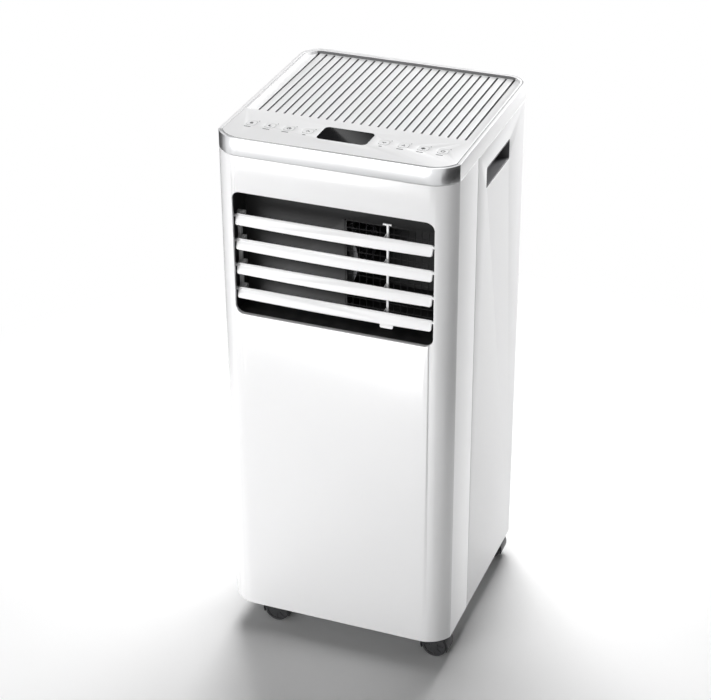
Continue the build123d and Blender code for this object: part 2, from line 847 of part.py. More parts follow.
with BuildPart() as tie_rod:
    rod_origin = (rod_x - rod_width / 2, crank_y, crank_mid_z)
    with BuildSketch(Plane(origin=rod_origin, x_dir=(0, 1, 0), z_dir=(1, 0, 0))):
        with Locations((0, (rod_reach - link_end) / 2)):
            SlotCenterToCenter(link_span + rod_reach + link_end - rod_width, rod_width, rotation=90)
        with GridLocations(0, blade_pitch, 1, blade_count):
            Circle(rod_eye_radius)
            Circle(rod_pin_radius + pin_clearance, mode=Mode.SUBTRACT)
    extrude(amount=rod_width)
    with Locations((rod_x - rod_hook_offset, crank_y, crank_top_z + rod_reach - rod_hook_height)):
        Box(rod_hook_length, rod_hook_width, rod_hook_height, align=stand)
save(tie_rod.part, "tie_rod")

# ================================================================ casters

hang_up = (Align.CENTER, Align.MIN)
corners = {
    "front_left": (-caster_x, -caster_y),
    "front_right": (caster_x, -caster_y),
    "rear_left": (-caster_x, caster_y),
    "rear_right": (caster_x, caster_y),
}

web_bottom = -wheel_radius * sin(radians(fender_wrap))
clear_radius = wheel_radius + fender_gap

for name, (x, y) in corners.items():
    side_plane = Plane(origin=(x + caster_trail, y, wheel_radius), x_dir=(1, 0, 0), z_dir=(0, -1, 0))
    with BuildPart() as fork:
        with BuildSketch(Plane.XY.offset(wheel_radius)):
            with Locations((x, y)):
                Circle(swivel_boss_radius)
        extrude(amount=pan_bottom - thrust_gap - wheel_radius)
        with Locations(side_plane):
            Cylinder(clear_radius, 2 * caster_width, mode=Mode.SUBTRACT)
        with BuildSketch(side_plane.offset(-caster_width / 2)):
            Circle(fender_radius)
            Circle(clear_radius, mode=Mode.SUBTRACT)
            with Locations((0, web_bottom)):
                Rectangle(3 * fender_radius, 2 * fender_radius, align=hang_up, mode=Mode.INTERSECT)
        extrude(amount=caster_width)
        with BuildSketch(side_plane.offset(-caster_web / 2)):
            Circle(fender_radius)
            with Locations((0, web_bottom)):
                Rectangle(3 * fender_radius, 2 * fender_radius, align=hang_up, mode=Mode.INTERSECT)
            Circle(axle_radius + axle_clearance, mode=Mode.SUBTRACT)
        extrude(amount=caster_web)
        with BuildSketch(Plane.XY.offset(stem_top - stem_length)):
            with Locations((x, y)):
                Circle(stem_radius)
        extrude(amount=stem_length)
    save(fork.part, f"caster_fork_{name}")

    with BuildPart() as wheels:
        for side in (-1, 1):
            with BuildSketch(side_plane.offset(side * (caster_web / 2 + wheel_gap))):
                Circle(wheel_radius)
            extrude(amount=side * wheel_width)
            with BuildSketch(side_plane.offset(side * caster_width / 2)):
                Circle(wheel_radius - tread_width)
                Circle(hub_cap_radius, mode=Mode.SUBTRACT)
            extrude(amount=-side * dish_depth, mode=Mode.SUBTRACT)
        circles = wheels.edges().filter_by(GeomType.CIRCLE)
        rims = circles.filter_by(lambda e: abs(e.radius - wheel_radius) < 0.01)
        fillet(rims, tread_round)
        with Locations(side_plane):
            Cylinder(axle_radius, caster_web + 2 * wheel_gap + wheel_width)
    save(wheels.part, f"caster_wheels_{name}")

# ================================================================ base pan and divider tray

compressor_feet = [
    (compressor_x + stud_spread * cos(radians(a)), compressor_y + stud_spread * sin(radians(a)))
    for a in (90, 210, 330)
]
screw_low_places = [(-screw_low[0], screw_low[1]), screw_low]
screw_places = [(side * x, z) for side in (-1, 1) for x, z in (screw_low, screw_high)]

with BuildPart() as base_pan:
    add(prism(outline(pan_inset), pan_bottom, pan_top))
    pan_rim = ring(pan_inset, pan_inset + pan_wall, front_y, rear_y)
    add(prism(pan_rim, pan_bottom, pan_bottom + pan_height))
    with BuildSketch(Plane.XY.offset(pan_bottom)):
        with Locations(list(corners.values())):
            Circle(socket_radius)
    extrude(amount=stem_top - pan_bottom + pan_floor)
    with BuildSketch(Plane.XY.offset(pan_bottom)):
        with Locations(list(corners.values())):
            Circle(stem_radius + stem_clearance)
    extrude(amount=stem_top - pan_bottom + nest_gap, mode=Mode.SUBTRACT)
    with BuildSketch(Plane.XY.offset(pan_top)):
        with Locations(compressor_feet):
            Circle(stud_radius)
    extrude(amount=stud_height)
    with BuildSketch(front_plane(rear_y - wall - nest_gap)):
        with Locations(screw_low_places):
            Circle(screw_boss_radius)
    extrude(amount=screw_boss_length)
    with BuildSketch(front_plane(rear_y)):
        with Locations(screw_low_places):
            Circle(screw_shank_radius + screw_clearance)
    extrude(amount=screw_length + nest_gap, mode=Mode.SUBTRACT)
    with BuildSketch(front_plane(rear_y)):
        with Locations((drain_low_x, drain_low_z)):
            Circle(drain_radius)
    extrude(amount=pan_inset + pan_wall)
    with BuildSketch(front_plane(rear_y)):
        with Locations((drain_low_x, drain_low_z)):
            Circle(drain_bore_radius)
    extrude(amount=2 * pan_inset, mode=Mode.SUBTRACT)
save(base_pan.part, "base_pan")

tray_inset = wall + nest_gap
with BuildPart() as divider_tray:
    with BuildSketch(Plane.XY.offset(tray_top - tray_floor)):
        add(outline(tray_inset))
        with Locations((0, (tray_front_y + rear_y) / 2)):
            Rectangle(2 * body_width, rear_y - tray_front_y, mode=Mode.INTERSECT)
    extrude(amount=tray_floor)
    tray_edge = ring(tray_inset, tray_inset + tray_rim_wall, tray_front_y, rear_y)
    add(prism(tray_edge, tray_top, tray_top + tray_rim))
    with BuildSketch(Plane.XY.offset(tray_top - tray_floor)):
        with Locations((suction_x, suction_y), (liquid_x, coil_pipe_y)):
            Circle(tray_pipe_hole)
    extrude(amount=tray_floor, mode=Mode.SUBTRACT)
    with BuildSketch(front_plane(rear_y)):
        with Locations((drain_high_x, drain_high_z)):
            Circle(drain_radius)
    extrude(amount=tray_spigot)
    with BuildSketch(front_plane(rear_y)):
        with Locations((drain_high_x, drain_high_z)):
            Circle(drain_bore_radius)
    extrude(amount=tray_spigot - 2 * scroll_wall, mode=Mode.SUBTRACT)
    with BuildSketch(Plane.XY.offset(drain_high_z)):
        with Locations((drain_high_x, rear_y - tray_spigot / 2)):
            Circle(drain_bore_radius - tray_floor / 2)
    extrude(amount=tray_rim, mode=Mode.SUBTRACT)
save(divider_tray.part, "divider_tray")

# ================================================================ rear housing

handle_mid_z = handle_bottom + handle_height / 2
door_mid_z = door_bottom + door_height / 2
door_axis_y = rear_y - door_axis_inset
door_axis_z = door_bottom + door_axis_rise
intake_mid_z = intake_bottom + intake_slot_pitch * (intake_slots - 1) / 2
housing_front_y = side_groove_y + side_groove_width / 2
collar_outer_radius = collar_bore_radius + collar_wall

with BuildPart() as rear_housing:
    add(prism(ring(0, wall, housing_front_y, rear_y), body_bottom, shell_top))
    with BuildSketch(Plane(origin=(0, 0, 0), x_dir=(0, 1, 0), z_dir=(1, 0, 0))):
        with Locations((handle_mid_y, handle_mid_z)):
            RectangleRounded(
                handle_length + 2 * nest_gap,
                handle_height + 2 * nest_gap,
                handle_corner + nest_gap,
            )
    extrude(amount=body_width, both=True, mode=Mode.SUBTRACT)
    with BuildSketch(front_plane(rear_y)):
        with Locations((0, door_mid_z - (door_heel_gap - door_gap) / 2)):
            Rectangle(door_width + 2 * door_gap, door_height + door_gap + door_heel_gap)
        with Locations((0, intake_mid_z)):
            with GridLocations(0, intake_slot_pitch, 1, intake_slots):
                RectangleRounded(intake_width, intake_slot_height, slot_round)
        with Locations((0, collar_z)):
            Circle(collar_outer_radius + nest_gap)
        with Locations((gland_x, gland_z)):
            Circle(gland_radius + nest_gap)
        with Locations((drain_low_x, drain_low_z), (drain_high_x, drain_high_z)):
            Circle(drain_radius + nest_gap)
        with Locations(screw_places):
            Circle(screw_shank_radius + screw_clearance)
    extrude(amount=2 * wall, mode=Mode.SUBTRACT)
    with BuildSketch(front_plane(rear_y)):
        with Locations(screw_places):
            Circle(screw_head_radius + nest_gap)
    extrude(amount=screw_head_height, mode=Mode.SUBTRACT)
    for side in (-1, 1):
        boss_origin = (side * (door_width / 2 + door_gap), door_axis_y, door_axis_z)
        boss = Plane(origin=boss_origin, z_dir=(side, 0, 0))
        with Locations(boss):
            Cylinder(door_boss_radius, door_boss_length, align=stand)
            Cylinder(door_pin_radius + pin_clearance, 2 * door_boss_length, mode=Mode.SUBTRACT)
save(rear_housing.part, "rear_housing")


def make_handle_cup(side):
    """Blind finger pocket set in one side wall."""
    face_origin = (side * body_width / 2, handle_mid_y, handle_mid_z)
    face = Plane(origin=face_origin, x_dir=(0, 1, 0), z_dir=(side, 0, 0))
    with BuildPart() as cup:
        with BuildSketch(face):
            RectangleRounded(handle_length, handle_height, handle_corner)
        extrude(amount=-handle_depth)
        with BuildSketch(face.offset(-wall)):
            RectangleRounded(
                handle_length + 2 * handle_flange,
                handle_height + 2 * handle_flange,
                handle_corner,
            )
        extrude(amount=-handle_wall)
        with BuildSketch(face):
            RectangleRounded(
                handle_length - 2 * handle_wall,
                handle_height - 2 * handle_wall,
                handle_corner / 2,
            )
        extrude(amount=-(handle_depth - handle_wall), mode=Mode.SUBTRACT)
    return cup.part


handle_cups = Compound(children=[make_handle_cup(-1), make_handle_cup(1)])
save(handle_cups, "handle_cups")

with BuildPart() as filter_door:
    with BuildSketch(front_plane(rear_y)):
        with Locations((0, door_mid_z)):
            Rectangle(door_width, door_height)
            with GridLocations(0, door_slot_pitch, 1, door_slots):
                RectangleRounded(
                    door_width - 2 * door_margin,
                    door_slot_height,
                    slot_round,
                    mode=Mode.SUBTRACT,
                )
    extrude(amount=door_thickness)
    for side in (-1, 1):
        ear = Plane(origin=(side * door_width / 2, door_axis_y, door_axis_z), z_dir=(side, 0, 0))
        with Locations(ear):
            Cylinder(door_ear_radius, door_ear_length, align=(Align.CENTER, Align.CENTER, Align.MAX))
            Cylinder(door_pin_radius, door_boss_length, align=stand)
save(filter_door.part, "filter_door")


def make_filter(width, height, mid_z, back_y):
    """Framed mesh screen lying flat against a grille."""
    with BuildPart() as screen:
        with BuildSketch(front_plane(back_y)):
            with Locations((0, mid_z)):
                Rectangle(width, height)
                Rectangle(width - 2 * filter_border, height - 2 * filter_border, mode=Mode.SUBTRACT)
                Rectangle(filter_rib, height - filter_border)
                Rectangle(width - filter_border, filter_rib)
        extrude(amount=filter_depth)
        with BuildSketch(front_plane(back_y - filter_depth / 2)):
            with Locations((0, mid_z)):
                Rectangle(width - filter_border, height - filter_border)
        extrude(amount=filter_mesh)
    return screen.part


air_filter_size = (door_width - 2 * filter_side, door_height - 2 * filter_end)
save(make_filter(*air_filter_size, door_mid_z + filter_lift, rear_y - door_thickness), "air_filter")
intake_filter_size = (intake_width + 2 * filter_border, intake_slot_pitch * intake_slots)
save(make_filter(*intake_filter_size, intake_mid_z, rear_y - wall), "condenser_filter")


def make_bush(x, z, outer, bore, depth, flange, flange_depth):
    """Flanged ring flush with the rear face, its flange behind the wall."""
    with BuildPart() as bush:
        with BuildSketch(front_plane(rear_y)):
            with Locations((x, z)):
                Circle(outer)
                Circle(bore, mode=Mode.SUBTRACT)
        extrude(amount=depth)
        with BuildSketch(front_plane(rear_y - wall)):
            with Locations((x, z)):
                Circle(outer + flange)
                Circle(bore, mode=Mode.SUBTRACT)
        extrude(amount=flange_depth)
    return bush.part


exhaust_collar = make_bush(
    0, collar_z, collar_outer_radius, collar_bore_radius, collar_depth, collar_flange, wall
)
save(exhaust_collar, "exhaust_collar")
cord_gland = make_bush(
    gland_x, gland_z, gland_radius, gland_bore_radius, gland_depth, gland_flange, wall
)
save(cord_gland, "cord_gland")


def rear_pin(x, z, radius, length, sink=0.0):
    """Solid pin along Y that starts at or just under the rear face."""
    with BuildPart() as pin:
        with BuildSketch(front_plane(rear_y - sink)):
            with Locations((x, z)):
                Circle(radius)
        extrude(amount=length)
    return pin.part


plug_radius = drain_bore_radius - pin_clearance
drain_places = [(drain_low_x, drain_low_z), (drain_high_x, drain_high_z)]
drain_plugs = Compound(
    children=[rear_pin(x, z, plug_radius, plug_length, seam) for x, z in drain_places]
)
save(drain_plugs, "drain_plugs")

case_screws = Compound(
    children=[
        rear_pin(x, z, screw_head_radius, screw_head_height)
        + rear_pin(x, z, screw_shank_radius, screw_length)
        for x, z in screw_places
    ]
)
save(case_screws, "case_screws")

# ================================================================ fans


def y_plane(x, y, z):
    """Plane at a point, facing +Y, for shafts and fans that point rearward."""
    return Plane(origin=(x, y, z), x_dir=(-1, 0, 0), z_dir=(0, 1, 0))


def make_impeller(x, z, radius, fan_front, length):
    """Forward-curved drum fan: end rings, blades, a middle disc and a bored hub."""
    start = y_plane(x, fan_front, z)
    mid = start.offset(length * fan_disc_share)
    with BuildPart() as fan:
        for offset in (0, length - fan_disc):
            with BuildSketch(start.offset(offset)):
                Circle(radius)
                Circle(radius - fan_blade_chord, mode=Mode.SUBTRACT)
            extrude(amount=fan_disc)
        with BuildSketch(start):
            with PolarLocations(radius - fan_blade_chord / 2, fan_blades):
                Rectangle(fan_blade_chord - fan_disc / 2, fan_blade_thickness, rotation=fan_blade_turn)
        extrude(amount=length)
        with BuildSketch(mid):
            Circle(radius - fan_blade_chord / 2)
        extrude(amount=fan_disc)
        with BuildSketch(mid):
            Circle(fan_hub_radius)
        extrude(amount=fan_hub_length)
        with BuildSketch(start):
            Circle(fan_shaft_radius + fan_bore_clearance)
        extrude(amount=length, mode=Mode.SUBTRACT)
    return fan.part


def make_motor(x, z, radius, back_y, length, shaft_length):
    """Fan motor: a can with an end cap, and its shaft pointing rearward."""
    back = y_plane(x, back_y, z)
    with BuildPart() as motor:
        with BuildSketch(back):
            Circle(radius)
        extrude(amount=length)
        with BuildSketch(back.offset(length)):
            Circle(radius / 2)
        extrude(amount=motor_nose)
        with BuildSketch(back.offset(length)):
            Circle(fan_shaft_radius)
        extrude(amount=shaft_length)
    return motor.part


def duct_section(radius, x, z, box):
    """Scroll section: a round fan chamber joined to a straight duct."""
    left, right, low, high = box
    with BuildSketch() as sketch:
        with Locations((x, z)):
            Circle(radius)
        with Locations(((left + right) / 2, (low + high) / 2)):
            Rectangle(right - left, high - low)
    return sketch.sketch


def grown(box, amount):
    """A box of left, right, low and high edges, made larger all round."""
    left, right, low, high = box
    return (left - amount, right + amount, low - amount, high + amount)


upper_box = (upper_fan_x, duct_right + scroll_wall, duct_bottom - duct_foot, duct_top + duct_head)
upper_front = frame_back_y + nest_gap
upper_disc_y = upper_front + scroll_wall

with BuildPart() as evaporator_scroll:
    with BuildSketch(front_plane(upper_front + upper_scroll_depth)):
        upper_outer = grown(upper_box, scroll_wall)
        add(duct_section(upper_scroll_radius + scroll_wall, upper_fan_x, upper_fan_z, upper_outer))
    extrude(amount=upper_scroll_depth)
    with BuildSketch(front_plane(upper_front + upper_scroll_depth - scroll_wall)):
        add(duct_section(upper_scroll_radius, upper_fan_x, upper_fan_z, upper_box))
    extrude(amount=upper_scroll_depth - 2 * scroll_wall, mode=Mode.SUBTRACT)
    with BuildSketch(front_plane(upper_disc_y)):
        with Locations(duct_mid):
            Rectangle(duct_width, duct_height)
    extrude(amount=2 * scroll_wall, mode=Mode.SUBTRACT)
    with BuildSketch(front_plane(upper_front + upper_scroll_depth)):
        with Locations((upper_fan_x, upper_fan_z)):
            Circle(upper_inlet_radius)
    extrude(amount=2 * scroll_wall, mode=Mode.SUBTRACT)
    with BuildSketch(Plane.XY.offset(tray_top)):
        upper_feet = (tray_front_y + scroll_foot, upper_front + upper_scroll_depth - scroll_foot)
        with Locations(*[(upper_fan_x, foot_y) for foot_y in upper_feet]):
            Rectangle(4 * scroll_foot, scroll_foot)
    extrude(amount=2 * scroll_wall)
save(evaporator_scroll.part, "evaporator_scroll")

upper_motor = make_motor(
    upper_fan_x, upper_fan_z, upper_motor_radius, upper_disc_y, upper_motor_length, upper_shaft
)
save(upper_motor, "evaporator_motor")
upper_fan_front = upper_front + (upper_scroll_depth - upper_fan_length) / 2
upper_fan = make_impeller(upper_fan_x, upper_fan_z, upper_fan_radius, upper_fan_front, upper_fan_length)
save(upper_fan, "evaporator_impeller")

lower_back = lower_scroll_front + lower_scroll_depth
with BuildPart() as condenser_scroll:
    with BuildSketch(front_plane(lower_back)):
        riser_outer = grown(riser_box, scroll_wall)
        add(duct_section(lower_scroll_radius + scroll_wall, lower_fan_x, lower_fan_z, riser_outer))
        with Locations(plenum_mid):
            Rectangle(plenum_width + 2 * scroll_wall, plenum_height + 2 * scroll_wall)
    extrude(amount=lower_scroll_depth)
    with BuildSketch(front_plane(lower_back - scroll_wall)):
        add(duct_section(lower_scroll_radius, lower_fan_x, lower_fan_z, riser_box))
        with Locations(plenum_mid):
            Rectangle(plenum_width, plenum_height)
    extrude(amount=lower_scroll_depth - 2 * scroll_wall, mode=Mode.SUBTRACT)
    with BuildSketch(front_plane(spigot_back_y)):
        with Locations((0, collar_z)):
            Circle(collar_bore_radius + scroll_wall)
    extrude(amount=spigot_back_y - lower_back + scroll_wall)
    with BuildSketch(front_plane(spigot_back_y)):
        with Locations((0, collar_z)):
            Circle(collar_bore_radius - spigot_step)
    extrude(amount=spigot_back_y - lower_back + 2 * scroll_wall, mode=Mode.SUBTRACT)
    with BuildSketch(front_plane(lower_back)):
        with Locations((lower_fan_x, lower_fan_z)):
            Circle(lower_inlet_radius)
    extrude(amount=2 * scroll_wall, mode=Mode.SUBTRACT)
    with BuildSketch(front_plane(lower_scroll_front + scroll_wall)):
        with Locations((lower_fan_x, lower_fan_z)):
            Circle(lower_motor_radius / 2 + nest_gap)
    extrude(amount=2 * scroll_wall, mode=Mode.SUBTRACT)
    with BuildSketch(Plane.XY.offset(pan_top)):
        lower_feet = (lower_scroll_front + scroll_foot, lower_back - scroll_foot)
        with Locations(*[(lower_fan_x, foot_y) for foot_y in lower_feet]):
            Rectangle(4 * scroll_foot, scroll_foot)
    extrude(amount=lower_fan_z - lower_scroll_radius - pan_top)
save(condenser_scroll.part, "condenser_scroll")

lower_motor_length = lower_scroll_front - lower_motor_back
lower_motor = make_motor(
    lower_fan_x, lower_fan_z, lower_motor_radius, lower_motor_back, lower_motor_length, lower_shaft
)
save(lower_motor, "condenser_motor")
lower_fan_front = lower_scroll_front + (lower_scroll_depth - lower_fan_length) / 2
lower_fan = make_impeller(lower_fan_x, lower_fan_z, lower_fan_radius, lower_fan_front, lower_fan_length)
save(lower_fan, "condenser_impeller")

# ================================================================ coils and refrigerant circuit


def make_pipe(points, radius, bend):
    """Round pipe along straight runs with bent corners."""
    with BuildPart() as pipe:
        with BuildLine() as path:
            FilletPolyline(*points, radius=bend) if len(points) > 2 else Line(*points)
        with BuildSketch(Plane(origin=path.line @ 0, z_dir=path.line % 0)):
            Circle(radius)
        sweep()
    return pipe.part


def make_return_bend(side, x, y, low, high):
    """Half-round bend joining two tubes at the end of a coil."""
    middle = (x + side * (high - low) / 2, y, (low + high) / 2)
    with BuildPart() as bend:
        with BuildLine() as path:
            ThreePointArc((x, y, low), middle, (x, y, high))
        with BuildSketch(Plane(origin=(x, y, low), z_dir=(side, 0, 0))):
            Circle(coil_tube_radius)
        sweep()
    return bend.part


def make_coil(size, mid_y, bottom, foot):
    """Finned coil: two rows of tubes through fins, between end plates that stand on a floor."""
    width, depth, height = size
    pitch = height / coil_rows
    tube_zs = [bottom + pitch * (i + 0.5) for i in range(coil_rows)]
    mid_z = bottom + height / 2
    end = width / 2
    with BuildPart() as coil:
        with Locations((0, mid_y, mid_z)):
            with GridLocations(width / coil_fins, 0, coil_fins + 1, 1):
                Box(coil_fin, depth, height)
        with Locations([(side * end, mid_y, (foot + bottom + height) / 2) for side in (-1, 1)]):
            Box(coil_plate, depth, bottom + height - foot)
        for y in (mid_y - depth * coil_row_share, mid_y + depth * coil_row_share):
            with BuildSketch(Plane(origin=(-end, 0, 0), x_dir=(0, 1, 0), z_dir=(1, 0, 0))):
                with Locations([(y, z) for z in tube_zs]):
                    Circle(coil_tube_radius)
            extrude(amount=width)
            for i in range(coil_rows - 1):
                side = 1 if i % 2 else -1
                add(make_return_bend(side, side * end, y, tube_zs[i], tube_zs[i + 1]))
    return coil.part


save(make_coil(evaporator_size, evaporator_y, evaporator_bottom, tray_top), "evaporator_coil")
save(make_coil(condenser_size, condenser_y, condenser_bottom, pan_top), "condenser_coil")

grommet_top = compressor_bottom - plate_thickness
with BuildPart() as compressor_grommets:
    with BuildSketch(Plane.XY.offset(pan_top)):
        with Locations(compressor_feet):
            Circle(grommet_radius)
            Circle(stud_radius + pin_clearance, mode=Mode.SUBTRACT)
    extrude(amount=grommet_top - pan_top)
save(compressor_grommets.part, "compressor_grommets")

accumulator_mid_z = accumulator_bottom + accumulator_height / 2
with BuildPart() as compressor:
    with BuildSketch(Plane.XY.offset(compressor_bottom)):
        with Locations((compressor_x, compressor_y)):
            Circle(compressor_radius)
    extrude(amount=compressor_height)
    fillet(compressor.faces().sort_by(Axis.Z)[-1].edges(), compressor_dome)
    fillet(compressor.faces().sort_by(Axis.Z)[0].edges(), compressor_dome / 2)
    with BuildSketch(Plane.XY.offset(accumulator_bottom)):
        with Locations((accumulator_x, accumulator_y)):
            Circle(accumulator_radius)
    extrude(amount=accumulator_height)
    shoulder = compressor.faces().filter_by(lambda f: abs(f.center().X - accumulator_x) < 0.1)
    fillet(shoulder.filter_by(Axis.Z).edges(), accumulator_radius / 3)
    with Locations(((accumulator_x + compressor_x) / 2, accumulator_y, accumulator_mid_z)):
        Box(compressor_x - accumulator_x - accumulator_radius, bracket_depth, bracket_height)
    with BuildSketch(Plane.XY.offset(grommet_top)):
        Polygon(*compressor_feet, align=None)
        with Locations(compressor_feet):
            Circle(grommet_radius + foot_margin)
    extrude(amount=plate_thickness)
    with BuildSketch(Plane.XY.offset(grommet_top)):
        with Locations((compressor_x, compressor_y)):
            Circle(compressor_radius - compressor_dome)
    extrude(amount=compressor_dome)
    with BuildSketch(Plane.XY.offset(compressor_bottom + compressor_height - stub_height)):
        with Locations((compressor_x, compressor_y)):
            Circle(pipe_radius + stub_wall)
    extrude(amount=2 * stub_height)
save(compressor.part, "compressor")

discharge_z = compressor_bottom + compressor_height + stub_height
condenser_side = condenser_size[0] / 2 + coil_plate
evaporator_end_x = evaporator_size[0] / 2 + coil_plate
discharge_points = [
    (compressor_x, compressor_y, discharge_z),
    (compressor_x, compressor_y, discharge_level),
    (discharge_x, compressor_y, discharge_level),
    (discharge_x, coil_pipe_y, discharge_level),
    (discharge_x, coil_pipe_y, discharge_entry_z),
    (condenser_side, coil_pipe_y, discharge_entry_z),
]
suction_points = [
    (accumulator_x, accumulator_y, accumulator_bottom + accumulator_height),
    (accumulator_x, accumulator_y, suction_level),
    (suction_x, accumulator_y, suction_level),
    (suction_x, suction_y, suction_level),
    (suction_x, suction_y, suction_entry_z),
    (evaporator_end_x, suction_y, suction_entry_z),
]
liquid_points = [
    (-condenser_side, coil_pipe_y, liquid_exit_z),
    (liquid_x, coil_pipe_y, liquid_exit_z),
    (liquid_x, coil_pipe_y, drier_bottom + pipe_radius),
]
capillary_points = [
    (liquid_x, coil_pipe_y, drier_bottom + drier_height - pipe_radius),
    (liquid_x, coil_pipe_y, capillary_shift_z),
    (liquid_x, evaporator_y, capillary_shift_z),
    (liquid_x, evaporator_y, capillary_entry_z),
    (-evaporator_end_x, evaporator_y, capillary_entry_z),
]
with BuildPart() as liquid_line:
    add(make_pipe(liquid_points, pipe_radius, pipe_bend))
    add(make_pipe(capillary_points, capillary_radius, capillary_bend))
    with BuildSketch(Plane.XY.offset(drier_bottom)):
        with Locations((liquid_x, coil_pipe_y)):
            Circle(drier_radius)
    extrude(amount=drier_height)
refrigerant_pipes = Compound(
    children=[
        make_pipe(discharge_points, pipe_radius, pipe_bend),
        make_pipe(suction_points, pipe_radius, pipe_bend),
        liquid_line.part,
    ]
)
save(refrigerant_pipes, "refrigerant_pipes")

# ================================================================ electrics, slinger and float

box_mid_x = box_left + box_width / 2
box_front_y = front_y + nest_inset
with BuildPart() as electrical_box:
    with BuildSketch(front_plane(box_front_y)):
        with Locations((box_mid_x, box_bottom + box_height / 2)):
            Rectangle(box_width, box_height)
    extrude(amount=-box_depth)
    with BuildSketch(front_plane(box_front_y + box_wall)):
        with Locations((box_mid_x, box_bottom + box_height / 2)):
            Rectangle(box_width - 2 * box_wall, box_height - 2 * box_wall)
    extrude(amount=-box_depth, mode=Mode.SUBTRACT)
save(electrical_box.part, "electrical_box")

pcb_mid_z = box_bottom + box_height / 2
pcb_face_y = box_front_y + box_wall + standoff_length + board_thickness
with BuildPart() as main_board:
    with BuildSketch(front_plane(pcb_face_y - board_thickness)):
        with Locations((pcb_mid_x, pcb_mid_z)):
            Rectangle(pcb_width, pcb_height)
    extrude(amount=-board_thickness)
    with BuildSketch(front_plane(box_front_y + box_wall)):
        with Locations((pcb_mid_x, pcb_mid_z)):
            with GridLocations(pcb_width - 2 * board_post, pcb_height - 2 * board_post, 2, 2):
                Circle(board_post / 2)
    extrude(amount=-standoff_length)
    with BuildSketch(front_plane(pcb_face_y)):
        with Locations((pcb_mid_x, pcb_mid_z - pcb_height / 4)):
            with GridLocations(relay_pitch, 0, relay_count, 1):
                Rectangle(relay_width, relay_length)
        with Locations((pcb_mid_x, pcb_mid_z + pcb_height / 4)):
            Rectangle(relay_pitch * 2, relay_length)
    extrude(amount=-relay_height)
save(main_board.part, "main_board")

with BuildPart() as run_capacitor:
    with BuildSketch(Plane.XY.offset(box_bottom + box_wall)):
        with Locations((capacitor_x, capacitor_y)):
            Circle(capacitor_radius)
    extrude(amount=capacitor_height)
    fillet(run_capacitor.faces().sort_by(Axis.Z)[-1].edges(), board_thickness)
    with BuildSketch(Plane.XY.offset(box_bottom + box_wall + capacitor_height)):
        with Locations((capacitor_x, capacitor_y)):
            with GridLocations(capacitor_radius, 0, 2, 1):
                Rectangle(board_thickness, board_post)
    extrude(amount=board_post)
save(run_capacitor.part, "run_capacitor")

slinger_plane = Plane(origin=(slinger_x, condenser_y, slinger_z), x_dir=(0, 1, 0), z_dir=(1, 0, 0))
slinger_motor_front = slinger_x + slinger_width + wall
with BuildPart() as slinger_wheel:
    with BuildSketch(slinger_plane):
        Circle(slinger_radius - slinger_tooth)
        with PolarLocations(slinger_radius - slinger_tooth, slinger_teeth):
            Rectangle(2 * slinger_tooth, slinger_tooth)
        Circle(slinger_shaft_radius + fan_bore_clearance, mode=Mode.SUBTRACT)
    extrude(amount=slinger_width)
save(slinger_wheel.part, "slinger_wheel")

with BuildPart() as slinger_motor:
    with BuildSketch(slinger_plane.offset(slinger_motor_front - slinger_x)):
        Circle(slinger_motor_radius)
    extrude(amount=slinger_motor_length)
    with BuildSketch(slinger_plane):
        Circle(slinger_shaft_radius)
    extrude(amount=slinger_motor_front - slinger_x)
    with Locations((slinger_motor_front + slinger_motor_length / 2, condenser_y, pan_top)):
        Box(slinger_motor_length, slinger_motor_radius, slinger_z - pan_top, align=stand)
save(slinger_motor.part, "slinger_motor")

with BuildPart() as float_switch:
    with BuildSketch(Plane.XY.offset(pan_top)):
        with Locations((float_x, condenser_y)):
            Circle(float_stem_radius)
    extrude(amount=float_stem_height)
    with BuildSketch(Plane.XY.offset(pan_top)):
        with Locations((float_x, condenser_y)):
            Circle(float_radius - wall)
    extrude(amount=pan_floor)
    with BuildSketch(Plane.XY.offset(pan_top + float_stem_height)):
        with Locations((float_x, condenser_y)):
            Circle(float_radius - 2 * wall)
    extrude(amount=-pan_floor)
save(float_switch.part, "float_switch")

with BuildPart() as float_ball:
    with BuildSketch(Plane.XY.offset(pan_top + pan_floor + nest_gap)):
        with Locations((float_x, condenser_y)):
            Circle(float_radius)
            Circle(float_stem_radius + pin_clearance, mode=Mode.SUBTRACT)
    extrude(amount=float_height)
save(float_ball.part, "float_ring")
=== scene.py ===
import json
from functools import cache
from math import cos, pi, radians, sin

import bmesh
import bpy
from mathutils import Matrix, Vector


